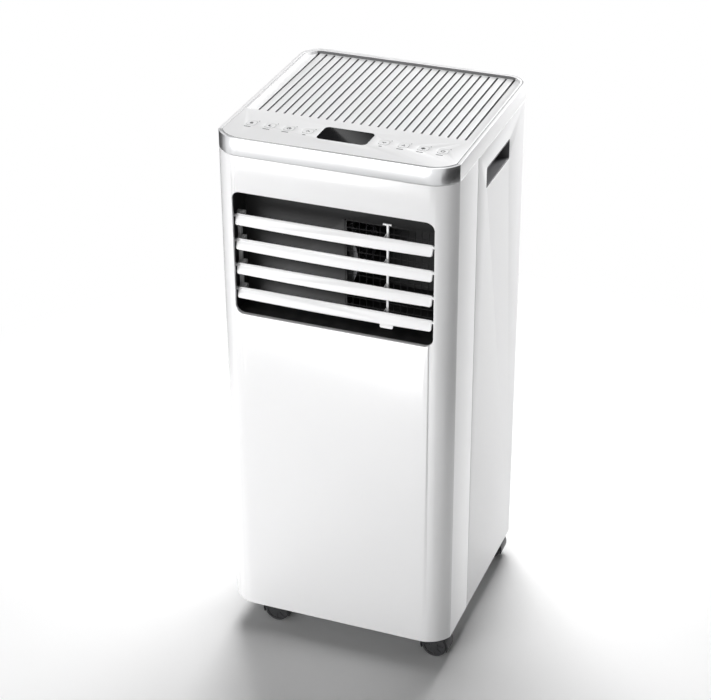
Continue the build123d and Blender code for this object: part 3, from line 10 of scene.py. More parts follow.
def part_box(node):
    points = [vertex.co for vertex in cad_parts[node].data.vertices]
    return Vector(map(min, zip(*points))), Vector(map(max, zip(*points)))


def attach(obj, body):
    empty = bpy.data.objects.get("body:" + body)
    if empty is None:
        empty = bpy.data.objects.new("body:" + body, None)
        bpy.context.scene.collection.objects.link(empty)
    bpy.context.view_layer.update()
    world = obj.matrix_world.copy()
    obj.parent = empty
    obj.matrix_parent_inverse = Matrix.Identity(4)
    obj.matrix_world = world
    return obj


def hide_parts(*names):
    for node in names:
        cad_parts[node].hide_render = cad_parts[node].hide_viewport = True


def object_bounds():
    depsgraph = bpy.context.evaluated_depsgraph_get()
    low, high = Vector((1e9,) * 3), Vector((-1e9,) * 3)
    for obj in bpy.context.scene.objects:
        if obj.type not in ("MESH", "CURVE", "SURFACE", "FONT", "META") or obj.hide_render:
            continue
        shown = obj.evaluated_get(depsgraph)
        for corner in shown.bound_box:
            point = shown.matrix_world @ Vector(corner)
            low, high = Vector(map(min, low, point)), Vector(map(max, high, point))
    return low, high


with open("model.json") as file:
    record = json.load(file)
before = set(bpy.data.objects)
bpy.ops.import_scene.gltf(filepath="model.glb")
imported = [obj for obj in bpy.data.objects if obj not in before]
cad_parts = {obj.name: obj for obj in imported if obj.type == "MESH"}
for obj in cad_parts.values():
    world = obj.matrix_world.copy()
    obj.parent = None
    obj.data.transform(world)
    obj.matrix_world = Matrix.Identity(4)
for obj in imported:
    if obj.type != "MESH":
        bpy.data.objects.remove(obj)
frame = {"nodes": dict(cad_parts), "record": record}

bl_info = {
    "name": "Portable air conditioner",
    "version": (1, 0, 0),
    "blender": (4, 5, 0),
    "location": "View3D > Sidebar > Air conditioner",
    "description": "Dresses the frame of a portable air conditioner with its visible pieces and finishes",
    "category": "Object",
}

SOLID_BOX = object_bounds()
TOP = SOLID_BOX[1][2]
SURFACE_DROP = 0.0001      # the top cover's face lies this far under the rim, so that prints stay inside it
MILLIMETRE = 0.001
PRINT_SINK = 0.0001        # a print starts this far under the face that carries it
EASED_ANGLE = 32.0         # edges sharper than this are eased
TOP_ROUND = 0.0003         # easing of the top cover's edges
DUST = (0.42, 0.41, 0.39)
ROOM_LIGHT = 0.11          # what the room adds to the lamps; rays that look straight see white
FLOOR_FADE = (0.45, 0.95)  # distances between which the floor turns plain white
CARD_PALE, CARD_DARK = 0.55, 0.02
KEYS = ("lock", "sleep", "timer", "temp_up", "temp_down", "fan_speed", "mode", "power")
CORNERS = ("front_left", "front_right", "rear_left", "rear_right")


# ---- settings

def length(name, value, note):
    return bpy.props.FloatProperty(name=name, description=note, default=value, min=0.0, unit="LENGTH")


def tint(name, value, what):
    note = "Colour of " + what
    return bpy.props.FloatVectorProperty(
        name=name, description=note, default=value, size=3, min=0.0, max=1.0, subtype="COLOR"
    )


def bearing(name, value, note):
    return bpy.props.FloatProperty(name=name, description=note, default=radians(value), subtype="ANGLE")


def count_of(name, value, note, least, most):
    return bpy.props.IntProperty(name=name, description=note, default=value, min=least, max=most)


class CoverSettings(bpy.types.PropertyGroup):
    gloss_white: tint("Front white", (0.8, 0.8, 0.805), "the glossy front panel")
    matte_white: tint("Side white", (0.83, 0.83, 0.835), "the textured side and rear covers")
    top_white: tint("Top white", (0.86, 0.86, 0.865), "the top cover and its rim")
    silver: tint("Silver", (0.74, 0.745, 0.755), "the trim band")
    # painted shade: the grey of the shadow in the top slots, on the rear step, along the cover's seam and in
    # the gaps round the keys
    slot_grey: tint("Slots", (0.21, 0.21, 0.215), "the insides of the top slots and the seams")
    # painted shade: the dark grey stands for the shadow deep in the handle recesses
    cup_grey: tint("Handle cups", (0.075, 0.075, 0.08), "the handle cups")
    edge_round: length("Edge rounding", 0.0005, "Radius on the covers' outer edges")


class ControlSettings(bpy.types.PropertyGroup):
    print_grey: tint("Print", (0.035, 0.035, 0.04), "the printed marks")
    glass_black: tint("Display glass", (0.006, 0.006, 0.007), "the display window")
    key_round: length("Key edge rounding", 0.0003, "Radius on the keys' top edges")
    mark_stroke: length("Mark stroke", 0.0009, "Stroke width of the printed marks")
    mark_height: length("Print height", 0.00005, "How far the print stands on a key")


class LouvreSettings(bpy.types.PropertyGroup):
    blade_white: tint("Blade white", (0.78, 0.78, 0.785), "the louvre blades")
    # the bars' pale grey, raised above the blades' white as painted light so that the bars read as lit in the
    # shade behind the blades
    link_grey: tint("Link grey", (0.86, 0.86, 0.865), "the bars that tie the blades")
    duct_black: tint("Duct black", (0.015, 0.015, 0.016), "the outlet frame")
    guard_wire: length("Guard wire", 0.0005, "Radius of the finger guard's wires")
    bar_round: length("Bar rounding", 0.00025, "Radius on the edges of the bars that tie the blades")


class CasterSettings(bpy.types.PropertyGroup):
    fork_black: tint("Fork black", (0.02, 0.02, 0.022), "the caster forks")
    tread_black: tint("Tread black", (0.028, 0.028, 0.03), "the wheels")
    ribs: count_of("Wheel ribs", 8, "Ribs in each wheel's dish", 3, 24)


class InsideSettings(bpy.types.PropertyGroup):
    fin_count: count_of("Coil fins", 110, "Fins in each coil", 10, 200)
    fan_blades: count_of("Fan blades", 40, "Blades in each drum fan", 12, 80)
    thread_pitch: length("Mesh pitch", 0.0026, "Spacing of the filter threads")
    thread_radius: length("Mesh thread", 0.00028, "Radius of the filter threads")


class StageSettings(bpy.types.PropertyGroup):
    floor_grey: tint("Floor", (0.93, 0.93, 0.93), "the floor where the unit stands")
    lens: bpy.props.FloatProperty(name="Lens", description="Focal length", default=102.28, unit="CAMERA")
    camera_place: bpy.props.FloatVectorProperty(
        name="Camera", description="Where the camera stands", default=(0.7881, -2.1181, 1.6576), unit="LENGTH"
    )
    camera_azimuth: bearing("Azimuth", 21.084, "Camera's turn round the unit")
    camera_elevation: bearing("Elevation", 29.75, "Camera's downward tilt")
    camera_roll: bearing("Roll", -0.353, "Camera's turn about its own axis")


# ---- shared surface patterns

def begin_pattern(name, inputs, outputs):
    """A shader group with its named inputs, and the sockets to read them from and to write its outputs to."""
    group = bpy.data.node_groups.new(name, "ShaderNodeTree")
    for label, value in inputs.items():
        socket = group.interface.new_socket(label, in_out="INPUT", socket_type="NodeSocketFloat")
        socket.default_value = value
    for label in outputs:
        group.interface.new_socket(label, in_out="OUTPUT", socket_type="NodeSocketFloat")
    return group, group.nodes.new("NodeGroupInput").outputs, group.nodes.new("NodeGroupOutput").inputs


def wire(tree, kind, inputs=None, **settings):
    """One node of a tree, with its settings, values and incoming links."""
    made = tree.nodes.new(kind)
    for label, value in settings.items():
        setattr(made, label, value)
    for key, value in (inputs or {}).items():
        if isinstance(value, bpy.types.NodeSocket):
            tree.links.new(value, made.inputs[key])
        else:
            made.inputs[key].default_value = value
    return made


def shader(tree, kind, inputs=None, **settings):
    """The outputs of a shader node."""
    return wire(tree, "ShaderNode" + kind, inputs, **settings).outputs


def own_place(tree):
    """The piece's own coordinates."""
    return shader(tree, "TexCoord")["Object"]


def maths(tree, operation, *values):
    """The output of a maths node."""
    return shader(tree, "Math", dict(enumerate(values)), operation=operation)[0]


def vector(tree, **parts):
    """A vector from the parts that are given."""
    return shader(tree, "CombineXYZ", parts)[0]


def noise(tree, scale, detail, distortion=0.0):
    """Noise on the piece's own coordinates."""
    values = {"Vector": own_place(tree), "Scale": scale, "Detail": detail, "Distortion": distortion}
    return shader(tree, "TexNoise", values)["Fac"]


def ramp(tree, source, low, high, **settings):
    """0 below one value of a source and 1 above another."""
    return shader(tree, "MapRange", {0: source, 1: low, 2: high}, **settings)[0]


def grain_pattern():
    """Moulded texture: a fine height and a slow change of tone."""
    group, given, leave = begin_pattern("Moulded grain", {"Scale": 2500.0, "Drift": 9.0}, ["Height", "Tone"])
    group.links.new(noise(group, given["Scale"], 2.0), leave["Height"])
    group.links.new(noise(group, given["Drift"], 3.0), leave["Tone"])
    return group


def dust_pattern():
    """Thin dust that settles on faces that look up."""
    group, given, leave = begin_pattern("Settled dust", {"Amount": 0.2, "Scale": 60.0}, ["Mask"])
    facing = shader(group, "SeparateXYZ", {0: shader(group, "NewGeometry")["Normal"]})
    speck = ramp(group, noise(group, given["Scale"], 6.0), 0.42, 0.75)
    both = maths(group, "MULTIPLY", ramp(group, facing["Z"], 0.5, 1.0), speck)
    group.links.new(maths(group, "MULTIPLY", both, given["Amount"]), leave["Mask"])
    return group


def brushed_pattern():
    """Long fine lines that run level round a strip of metal."""
    inputs = {"Lines": 5200.0, "Length": 14.0}
    group, given, leave = begin_pattern("Brushed lines", inputs, ["Height", "Tone"])
    stretch = vector(group, X=given["Length"], Y=given["Length"], Z=given["Lines"])
    drawn = shader(group, "VectorMath", {0: own_place(group), 1: stretch}, operation="MULTIPLY")[0]
    lines = shader(group, "TexNoise", {"Vector": drawn, "Scale": 1.0, "Detail": 2.0})["Fac"]
    group.links.new(lines, leave["Height"])
    group.links.new(lines, leave["Tone"])
    return group


def wear_pattern():
    """Scuffs: thin streaks and flecks from handling."""
    group, given, leave = begin_pattern("Scuffs", {"Scale": 90.0, "Amount": 0.5}, ["Mask"])
    thin = ramp(group, noise(group, given["Scale"], 8.0, 2.0), 0.62, 0.72)
    group.links.new(maths(group, "MULTIPLY", thin, given["Amount"]), leave["Mask"])
    return group


@cache
def pattern(maker):
    """A shared node tree, built the first time it is asked for."""
    return maker()


def use_pattern(tree, maker, **values):
    """The outputs of a shared pattern placed in a material with its own values."""
    return wire(tree, "ShaderNodeGroup", values, node_tree=pattern(maker)).outputs


# ---- finishes

def begin_finish(name="finish"):
    """A new material with its surface shader."""
    finish = bpy.data.materials.new(name)
    finish.use_nodes = True
    return finish, finish.node_tree, finish.node_tree.nodes["Principled BSDF"]


def mixed(tree, mask, first, second):
    """A colour that goes from first to second with a mask; each is a socket or three numbers."""
    ends = [c if isinstance(c, bpy.types.NodeSocket) else (*c, 1.0) for c in (first, second)]
    return shader(tree, "Mix", {0: mask, 6: ends[0], 7: ends[1]}, data_type="RGBA")[2]


def scaled(colour, factor, lift=0.0):
    """A colour made darker or lighter."""
    return tuple(min(1.0, c * factor + lift) for c in colour)


def spread(tree, source, low, high):
    """A value in 0 to 1 carried to a range of its own."""
    return shader(tree, "MapRange", {0: source, 3: low, 4: high})[0]


def bumped(tree, height, strength, depth):
    """The normal that a height gives."""
    return shader(tree, "Bump", {"Height": height, "Strength": strength, "Distance": depth})["Normal"]


def set_surface(tree, surface, **values):
    """Gives the surface shader its links and constants."""
    for label, value in values.items():
        socket = surface.inputs[label.replace("_", " ")]
        if isinstance(value, bpy.types.NodeSocket):
            tree.links.new(value, socket)
        else:
            socket.default_value = value


def varied(tree, marks, roughness, drift):
    """A roughness that drifts with the tone of a pattern."""
    return spread(tree, marks["Tone"], roughness - drift, roughness + drift)


def plastic(colour, roughness, grain=2500.0, relief=0.15, coat=0.0, dust=0.0, scuffs=0.0, tone=0.025):
    """Moulded plastic with grain, a slight drift of tone, dust and scuffs."""
    finish, tree, surface = begin_finish()
    marks = use_pattern(tree, grain_pattern, Scale=grain)
    hue = mixed(tree, marks["Tone"], scaled(colour, 1.0 - tone), colour)
    if dust:
        hue = mixed(tree, use_pattern(tree, dust_pattern, Amount=dust)["Mask"], hue, DUST)
    if scuffs:
        worn = use_pattern(tree, wear_pattern, Amount=scuffs)["Mask"]
        hue = mixed(tree, worn, hue, scaled(colour, 1.5, 0.05))
    set_surface(
        tree, surface, Base_Color=hue, Roughness=varied(tree, marks, roughness, 0.04),
        Normal=bumped(tree, marks["Height"], relief, 0.0001), Coat_Weight=coat, Coat_Roughness=0.08,
    )
    return finish


def metal(colour, roughness, lines=0.0, relief=0.08, grain=1800.0, scuffs=0.0):
    """Bare or plated metal, brushed or with the grain of its sheet."""
    finish, tree, surface = begin_finish()
    if lines:
        marks = use_pattern(tree, brushed_pattern, Lines=lines)
    else:
        marks = use_pattern(tree, grain_pattern, Scale=grain, Drift=30.0)
    hue = mixed(tree, marks["Tone"], scaled(colour, 0.93), colour)
    if scuffs:
        worn = use_pattern(tree, wear_pattern, Amount=scuffs)["Mask"]
        hue = mixed(tree, worn, hue, scaled(colour, 0.6))
    set_surface(
        tree, surface, Base_Color=hue, Roughness=varied(tree, marks, roughness, 0.05),
        Normal=bumped(tree, marks["Height"], relief, 0.00005), Metallic=1.0,
    )
    return finish


def board_finish(colour):
    """Printed circuit board: lacquer over a faint pattern of tracks."""
    finish, tree, surface = begin_finish()
    bricks = {"Vector": own_place(tree), "Scale": 160.0, "Mortar Size": 0.03}
    tracks = shader(tree, "TexBrick", bricks)["Fac"]
    marks = use_pattern(tree, grain_pattern, Scale=900.0)
    set_surface(
        tree, surface, Base_Color=mixed(tree, tracks, colour, scaled(colour, 1.6, 0.01)),
        Normal=bumped(tree, tracks, 0.2, 0.0001), Roughness=spread(tree, marks["Tone"], 0.3, 0.45),
    )
    return finish


def glass_finish(colour):
    """Tinted display window over a dark panel."""
    finish, tree, surface = begin_finish()
    marks = use_pattern(tree, grain_pattern, Scale=700.0, Drift=40.0)
    set_surface(
        tree, surface, Base_Color=mixed(tree, marks["Tone"], colour, scaled(colour, 1.0, 0.006)),
        Roughness=spread(tree, marks["Tone"], 0.03, 0.07), Coat_Weight=0.6, Coat_Roughness=0.02,
    )
    return finish


@cache
def finishes(scene):
    """All finishes by name, made at the first call."""
    cover, control = scene.aircon_cover, scene.aircon_control
    louvre, caster = scene.aircon_louvre, scene.aircon_caster
    made = {
        "gloss_white": plastic(cover.gloss_white, 0.24, 1400.0, 0.03, coat=0.25, tone=0.012),
        "matte_white": plastic(cover.matte_white, 0.46, 2600.0, 0.22, dust=0.04, tone=0.02),
        "top_white": plastic(cover.top_white, 0.36, 2000.0, 0.06, dust=0.03, tone=0.01),
        # painted shade for the top slots, the rear step, the seam and the key gaps
        "slot_grey": plastic(cover.slot_grey, 0.5, 2400.0, 0.12, tone=0.05),
        # painted shade in the handle recesses
        "cup_grey": plastic(cover.cup_grey, 0.45, 2000.0, 0.2, dust=0.05, tone=0.08),
        "silver_trim": metal(cover.silver, 0.32, lines=5200.0, relief=0.05),
        "display_black": glass_finish(control.glass_black),
        "print_grey": plastic(control.print_grey, 0.5, 3000.0, 0.05),
        "duct_black": plastic(louvre.duct_black, 0.5, 1600.0, 0.25, dust=0.06, tone=0.15),
        "louvre_white": plastic(louvre.blade_white, 0.34, 2200.0, 0.05, tone=0.015),
        # the bars' pale grey, raised as painted light
        "link_grey": plastic(louvre.link_grey, 0.42, 2200.0, 0.08),
        "caster_black": plastic(caster.fork_black, 0.36, 1800.0, 0.2, dust=0.1, scuffs=0.12, tone=0.2),
        "wheel_black": plastic(caster.tread_black, 0.5, 1500.0, 0.3, dust=0.1, scuffs=0.25, tone=0.2),
        "pan_grey": plastic((0.34, 0.345, 0.35), 0.5, 1400.0, 0.2, dust=0.2, scuffs=0.1, tone=0.06),
        "board_green": board_finish((0.012, 0.1, 0.04)),
        "compressor_black": plastic((0.018, 0.018, 0.02), 0.3, 700.0, 0.25, 0.3, 0.15, 0.1, 0.2),
        "grommet_rubber": plastic((0.03, 0.03, 0.03), 0.75, 1500.0, 0.3, dust=0.2, tone=0.2),
        "coil_aluminium": metal((0.78, 0.79, 0.8), 0.34, relief=0.1, scuffs=0.15),
        "pipe_copper": metal((0.72, 0.36, 0.2), 0.3, relief=0.1, grain=900.0, scuffs=0.35),
        "fan_grey": plastic((0.2, 0.2, 0.21), 0.42, 1600.0, 0.12, dust=0.12, tone=0.08),
        "scroll_white": plastic((0.7, 0.7, 0.69), 0.55, 900.0, 0.35, dust=0.12, tone=0.05),
        "motor_steel": metal((0.5, 0.51, 0.53), 0.38, relief=0.15, scuffs=0.2),
        "box_steel": metal((0.62, 0.64, 0.66), 0.4, relief=0.15, grain=260.0, scuffs=0.2),
        "filter_mesh": plastic((0.1, 0.1, 0.11), 0.6, 1800.0, 0.2, dust=0.2, tone=0.1),
        "screw_steel": metal((0.58, 0.59, 0.61), 0.28, relief=0.12, scuffs=0.3),
        "float_white": plastic((0.8, 0.8, 0.78), 0.6, 300.0, 0.4, dust=0.1, tone=0.06),
        "tin_plate": metal((0.66, 0.67, 0.68), 0.3, relief=0.1, scuffs=0.2),
    }
    for name, finish in made.items():
        finish.name = name
    return made


def finish_of(name):
    """A finish by name."""
    return finishes(bpy.context.scene)[name]


# ---- meshes and pieces

def link_mesh(name, mesh):
    """A mesh shown in the scene, at the origin."""
    piece = bpy.data.objects.new(name, mesh)
    bpy.context.scene.collection.objects.link(piece)
    return piece


def paint(mesh, finish):
    """One finish over a whole mesh."""
    mesh.materials.clear()
    mesh.materials.append(finish_of(finish))


def body_of_node(node):
    """The body that a solid moves with."""
    return next(name for name, members in frame["record"]["behaviour"]["bodies"].items() if node in members)


def stand_in(name, mesh, slot, body, *nodes):
    """A piece that rides on a body and stands for solids; a bare mesh gets the finish of its slot."""
    if not mesh.materials:
        paint(mesh, slot)
    piece = link_mesh(name, mesh)
    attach(piece, body)
    if nodes:
        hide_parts(*nodes)
    return piece


def merged(node):
    """A solid's mesh with its loose triangles joined into clean faces."""
    form = bmesh.new()
    form.from_mesh(frame["nodes"][node].data)
    bmesh.ops.remove_doubles(form, verts=form.verts, dist=2e-6)
    flat = {"angle_limit": radians(0.4), "delimit": {"NORMAL"}}
    bmesh.ops.dissolve_limit(form, verts=form.verts, edges=form.edges, **flat)
    return form


def settled_mesh(name, form):
    """A working form turned into a mesh and let go."""
    mesh = bpy.data.meshes.new(name)
    form.to_mesh(mesh)
    form.free()
    return mesh


def shade(mesh, angle=35.0):
    """Smooth shading with sharp edges kept."""
    mesh.shade_smooth()
    mesh.set_sharp_from_angle(angle=radians(angle))
    return mesh


def absorb(form, mesh):
    """Adds a mesh to a form and lets the mesh go."""
    form.from_mesh(mesh)
    bpy.data.meshes.remove(mesh)


def bridge(form, rings):
    """Walls between rings of corners, where a ring of one corner is a pole."""
    for low, high in zip(rings, rings[1:]):
        for i in range(max(len(low), len(high))):
            j = i + 1
            corners = [low[i % len(low)], low[j % len(low)], high[j % len(high)], high[i % len(high)]]
            unique = list(dict.fromkeys(corners))
            if len(unique) > 2:
                form.faces.new(unique)


def outward(form):
    """Turns all faces of a closed form outward."""
    bmesh.ops.recalc_face_normals(form, faces=form.faces)
    return form


def moved(form, matrix):
    """A form moved for good."""
    bmesh.ops.transform(form, matrix=matrix, verts=form.verts)
    return form


def circle(radius, steps):
    """Points evenly round the origin."""
    return [(radius * cos(2 * pi * i / steps), radius * sin(2 * pi * i / steps)) for i in range(steps)]


def box_of(node):
    """The middle and the size of a solid's box."""
    low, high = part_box(node)
    return [(a + b) / 2 for a, b in zip(low, high)], [b - a for a, b in zip(low, high)]


def baked(holder):
    """The plain mesh that a holder's modifiers make; the holder goes."""
    source = holder.data
    result = bpy.data.meshes.new_from_object(holder.evaluated_get(bpy.context.evaluated_depsgraph_get()))
    holder.modifiers.clear()
    bpy.data.objects.remove(holder)
    bpy.data.meshes.remove(source)
    return result


def softened(form, node, radius, outer="MITER_ARC"):
    """A form's mesh with its sharp edges eased."""
    holder = link_mesh("holder", settled_mesh("sharp", form))
    holder.data.shade_smooth()
    bevel = holder.modifiers.new("Ease", "BEVEL")
    bevel.width = radius
    bevel.segments = 2
    bevel.limit_method = "ANGLE"
    bevel.angle_limit = radians(EASED_ANGLE)
    bevel.use_clamp_overlap = False
    bevel.harden_normals = True
    bevel.miter_outer = outer
    mesh = baked(holder)
    mesh.name = node + "_form"
    return mesh


def eased(node, finish, radius, slot=None):
    """The piece for one solid: its copy with eased edges, or as moulded where the radius is nil."""
    form = merged(node)
    mesh = softened(form, node, radius) if radius else shade(settled_mesh(node + "_form", form))
    paint(mesh, finish)
    return stand_in(node + "_shell", mesh, slot or finish, body_of_node(node), node)


def dress(node, finish):
    """A solid that keeps its own mesh gets its finish."""
    holder = frame["nodes"][node]
    if not holder.material_slots:
        holder.data.materials.append(finish_of(finish))
    for place in holder.material_slots:
        place.material = finish_of(finish)


def joined(name, parts):
    """One mesh from several meshes, each with a finish of its own."""
    form = bmesh.new()
    kinds = []
    for mesh, finish in parts:
        if finish not in kinds:
            kinds.append(finish)
        before = len(form.faces)
        form.from_mesh(mesh)
        form.faces.ensure_lookup_table()
        for face in form.faces[before:]:
            face.material_index = kinds.index(finish)
        bpy.data.meshes.remove(mesh)
    whole = settled_mesh(name, form)
    for finish in kinds:
        whole.materials.append(finish_of(finish))
    return whole


def stacked(levels, ends="flat"):
    """A closed form whose walls run through outlines at their heights; its ends are flat, joined or poles."""
    form = bmesh.new()
    rings = [[form.verts.new((x, y, z)) for x, y in outline] for outline, z in levels]
    if ends == "flat":
        form.faces.new(rings[0])
        form.faces.new(rings[-1])
    bridge(form, rings + rings[:1] if ends == "joined" else rings)
    return outward(form)


def turned(profile, steps, ends="joined"):
    """A form of revolution about Z from (radius, height) points; a nil radius is a pole."""
    return stacked([(circle(radius, steps) if radius else [(0.0, 0.0)], z) for radius, z in profile], ends)


def pin(radius, low, high, steps):
    """A round pin from one height to another."""
    return turned([(0.0, low), (radius, low), (radius, high), (0.0, high)], steps, "poles")


def slab(outline, low, high):
    """A flat closed plate from a ring of (x, y) points, between two heights."""
    return stacked([(outline, low), (outline, high)])


def strip(x, near, far, half, low, high):
    """An upright plate across X, from near to far."""
    return slab([(x - half, near), (x + half, near), (x + half, far), (x - half, far)], low, high)


def rounded_ring(width, depth, corner, steps=6):
    """Points round a rectangle with rounded corners."""
    points = []
    for k, (sx, sy) in enumerate(((1, 1), (-1, 1), (-1, -1), (1, -1))):
        middle = (sx * (width / 2 - corner), sy * (depth / 2 - corner))
        for i in range(steps + 1):
            a = pi / 2 * (k + i / steps)
            points.append((middle[0] + corner * cos(a), middle[1] + corner * sin(a)))
    return points


# ---- what repeats

def begin_repeat(name, inputs):
    """A geometry node tree with its sockets, and its input and output nodes."""
    tree = bpy.data.node_groups.new(name, "GeometryNodeTree")
    tree.interface.new_socket("Geometry", in_out="INPUT", socket_type="NodeSocketGeometry")
    for label, kind in inputs.items():
        tree.interface.new_socket(label, in_out="INPUT", socket_type="NodeSocket" + kind)
    tree.interface.new_socket("Finish", in_out="INPUT", socket_type="NodeSocketMaterial")
    tree.interface.new_socket("Geometry", in_out="OUTPUT", socket_type="NodeSocketGeometry")
    return tree, tree.nodes.new("NodeGroupInput").outputs, tree.nodes.new("NodeGroupOutput").inputs


def node(tree, kind, **inputs):
    """The first output of a geometry node, its inputs given by name."""
    values = {label.replace("_", " "): value for label, value in inputs.items()}
    return wire(tree, "GeometryNode" + kind, values).outputs[0]


def end_repeat(tree, leave, geometry, finish):
    """Realizes what was repeated and gives it its finish."""
    real = node(tree, "RealizeInstances", Geometry=geometry)
    tree.links.new(node(tree, "SetMaterial", Geometry=real, Material=finish), leave[0])
    return tree


def piece_shape(tree, given):
    """The shape of the piece that a tree repeats."""
    return wire(tree, "GeometryNodeObjectInfo", {"Object": given["Piece"]}).outputs["Geometry"]


def row_tree():
    """Repeats a piece at even steps along a line."""
    inputs = {"Piece": "Object", "Count": "Int", "Start": "Vector", "Step": "Vector"}
    tree, given, leave = begin_repeat("Even row", inputs)
    line = node(tree, "MeshLine", Count=given["Count"], Start_Location=given["Start"], Offset=given["Step"])
    spots = node(tree, "InstanceOnPoints", Points=line, Instance=piece_shape(tree, given))
    return end_repeat(tree, leave, spots, given["Finish"])


def wheel_tree():
    """Repeats a piece evenly round the Z axis."""
    tree, given, leave = begin_repeat("Even wheel", {"Piece": "Object", "Count": "Int"})
    points = node(tree, "MeshLine", Count=given["Count"], Offset=(0.0, 0.0, 0.0))
    turn = maths(tree, "MULTIPLY", node(tree, "InputIndex"), 2 * pi)
    angle = vector(tree, Z=maths(tree, "DIVIDE", turn, given["Count"]))
    spots = node(tree, "InstanceOnPoints", Points=points, Instance=piece_shape(tree, given), Rotation=angle)
    return end_repeat(tree, leave, spots, given["Finish"])


def thread_tree():
    """Parallel threads along X that weave up and down over each other."""
    lengths = dict.fromkeys(("Length", "Pitch", "Wave", "Radius", "Phase"), "Float")
    tree, given, leave = begin_repeat("Woven threads", {"Count": "Int", "Bends": "Int", **lengths})
    start, end = (vector(tree, X=maths(tree, "MULTIPLY", given["Length"], half)) for half in (-0.5, 0.5))
    thread = node(tree, "CurvePrimitiveLine", Start=start, End=end)
    cut = node(tree, "ResampleCurve", Curve=thread, Count=given["Bends"])
    width = maths(tree, "MULTIPLY", maths(tree, "SUBTRACT", given["Count"], 1.0), given["Pitch"])
    first = vector(tree, Y=maths(tree, "MULTIPLY", width, -0.5))
    step = vector(tree, Y=given["Pitch"])
    row = node(tree, "MeshLine", Count=given["Count"], Start_Location=first, Offset=step)
    loose = node(tree, "RealizeInstances", Geometry=node(tree, "InstanceOnPoints", Points=row, Instance=cut))
    seat = shader(tree, "SeparateXYZ", {0: node(tree, "InputPosition")})
    column, line = (maths(tree, "DIVIDE", seat[axis], given["Pitch"]) for axis in "XY")
    place = maths(tree, "ADD", maths(tree, "ADD", column, line), given["Phase"])
    rise = maths(tree, "MULTIPLY", maths(tree, "SINE", maths(tree, "MULTIPLY", place, pi)), given["Wave"])
    bent = node(tree, "SetPosition", Geometry=loose, Offset=vector(tree, Z=rise))
    section = node(tree, "CurvePrimitiveCircle", Resolution=4, Radius=given["Radius"])
    solid = node(tree, "CurveToMesh", Curve=bent, Profile_Curve=section, Fill_Caps=True)
    return end_repeat(tree, leave, solid, given["Finish"])


def repeated(maker, finish, **values):
    """The mesh that a repeating tree makes, with its inputs set by identifier."""
    tree = pattern(maker)
    holder = link_mesh("holder", bpy.data.meshes.new("holder"))
    modifier = holder.modifiers.new("Repeat", "NODES")
    modifier.node_group = tree
    sockets = [item for item in tree.interface.items_tree if item.item_type == "SOCKET"]
    names = {socket.name: socket.identifier for socket in sockets if socket.in_out == "INPUT"}
    for label, value in {**values, "Finish": finish_of(finish)}.items():
        modifier[names[label]] = value
    mesh = baked(holder)
    if "Piece" in values:
        bpy.data.objects.remove(values["Piece"])
    return mesh


def placed(mesh, matrix):
    """A mesh moved for good."""
    mesh.transform(matrix)
    return mesh


# ---- marks on the keys

def stroke(points, width, closed=False):
    """A ribbon of even width along points, as rings of corners."""
    quads = []
    for first, last in zip(points, points[1:] + points[:1] if closed else points[1:]):
        a, b = Vector(first), Vector(last)
        run = (b - a).normalized() * (width / 2)
        side = Vector((-run.y, run.x))
        a, b = a - run * 0.6, b + run * 0.6
        quads.append([a + side, a - side, b - side, b + side])
    return quads


def polar(radius, angle):
    """A point at an angle in degrees."""
    return radius * cos(radians(angle)), radius * sin(radians(angle))


def arc_points(x, y, radius, start, end, steps):
    """Points along an arc round (x, y)."""
    spokes = [polar(radius, start + (end - start) * i / steps) for i in range(steps + 1)]
    return [(x + px, y + py) for px, py in spokes]


def lock_mark(w):
    body = [(-1.9, -2.1), (1.9, -2.1), (1.9, 0.6), (-1.9, 0.6)]
    return [body] + stroke([(-1.25, 0.5)] + arc_points(0, 1.0, 1.25, 180, 0, 12) + [(1.25, 0.5)], w)


def sleep_mark(w):
    outer = arc_points(0, 0, 2.4, 65, 325, 26)
    inner = arc_points(1.15, 0.75, 1.75, 300, 90, 22)
    return [outer + inner]


def timer_mark(w):
    return stroke(arc_points(0, 0, 2.3, 0, 360, 32)[:-1], w, True) + stroke([(0, 1.3), (0, 0), (1.1, 0)], w)


def arrow_mark(w, way):
    return stroke([(-1.9, -0.7 * way), (0, 1.1 * way), (1.9, -0.7 * way)], w * 1.5)


def fan_mark(w):
    marks = [circle(0.5, 12)]
    vane = [(0.5, -0.35), (1.5, -1.0), (2.4, -0.6), (2.5, 0.3), (1.6, 0.55), (0.5, 0.3)]
    for turn in (90, 210, 330):
        spin = Matrix.Rotation(radians(turn), 2)
        marks.append([spin @ Vector(point) for point in vane])
    return marks


def mode_mark(w):
    marks = []
    for turn in (30, 90, 150):
        marks += stroke([polar(-2.4, turn), polar(2.4, turn)], w)
        for arm in (turn + 180, turn):
            root = Vector(polar(1.5, arm))
            for lean in (-40.107, 40.107):
                marks += stroke([root, root + Vector(polar(0.85, arm + lean))], w * 0.8)
    return marks


def power_mark(w):
    return stroke(arc_points(0, 0, 2.2, 125, 415, 28), w) + stroke([(0, 0.6), (0, 2.6)], w)


MARKS = {
    "lock": lock_mark,
    "sleep": sleep_mark,
    "timer": timer_mark,
    "temp_up": lambda w: arrow_mark(w, 1),
    "temp_down": lambda w: arrow_mark(w, -1),
    "fan_speed": fan_mark,
    "mode": mode_mark,
    "power": power_mark,
}


def printed(rings, x, y, rise):
    """Raised print from rings in millimetres, centred at a place on the top."""
    face = TOP - SURFACE_DROP
    low, high = face - PRINT_SINK, face + rise
    whole = bmesh.new()
    for ring in rings:
        part = slab([(x + px * MILLIMETRE, y + py * MILLIMETRE) for px, py in ring], low, high)
        absorb(whole, settled_mesh("print", part))
    return settled_mesh("print", whole)


# ---- operators

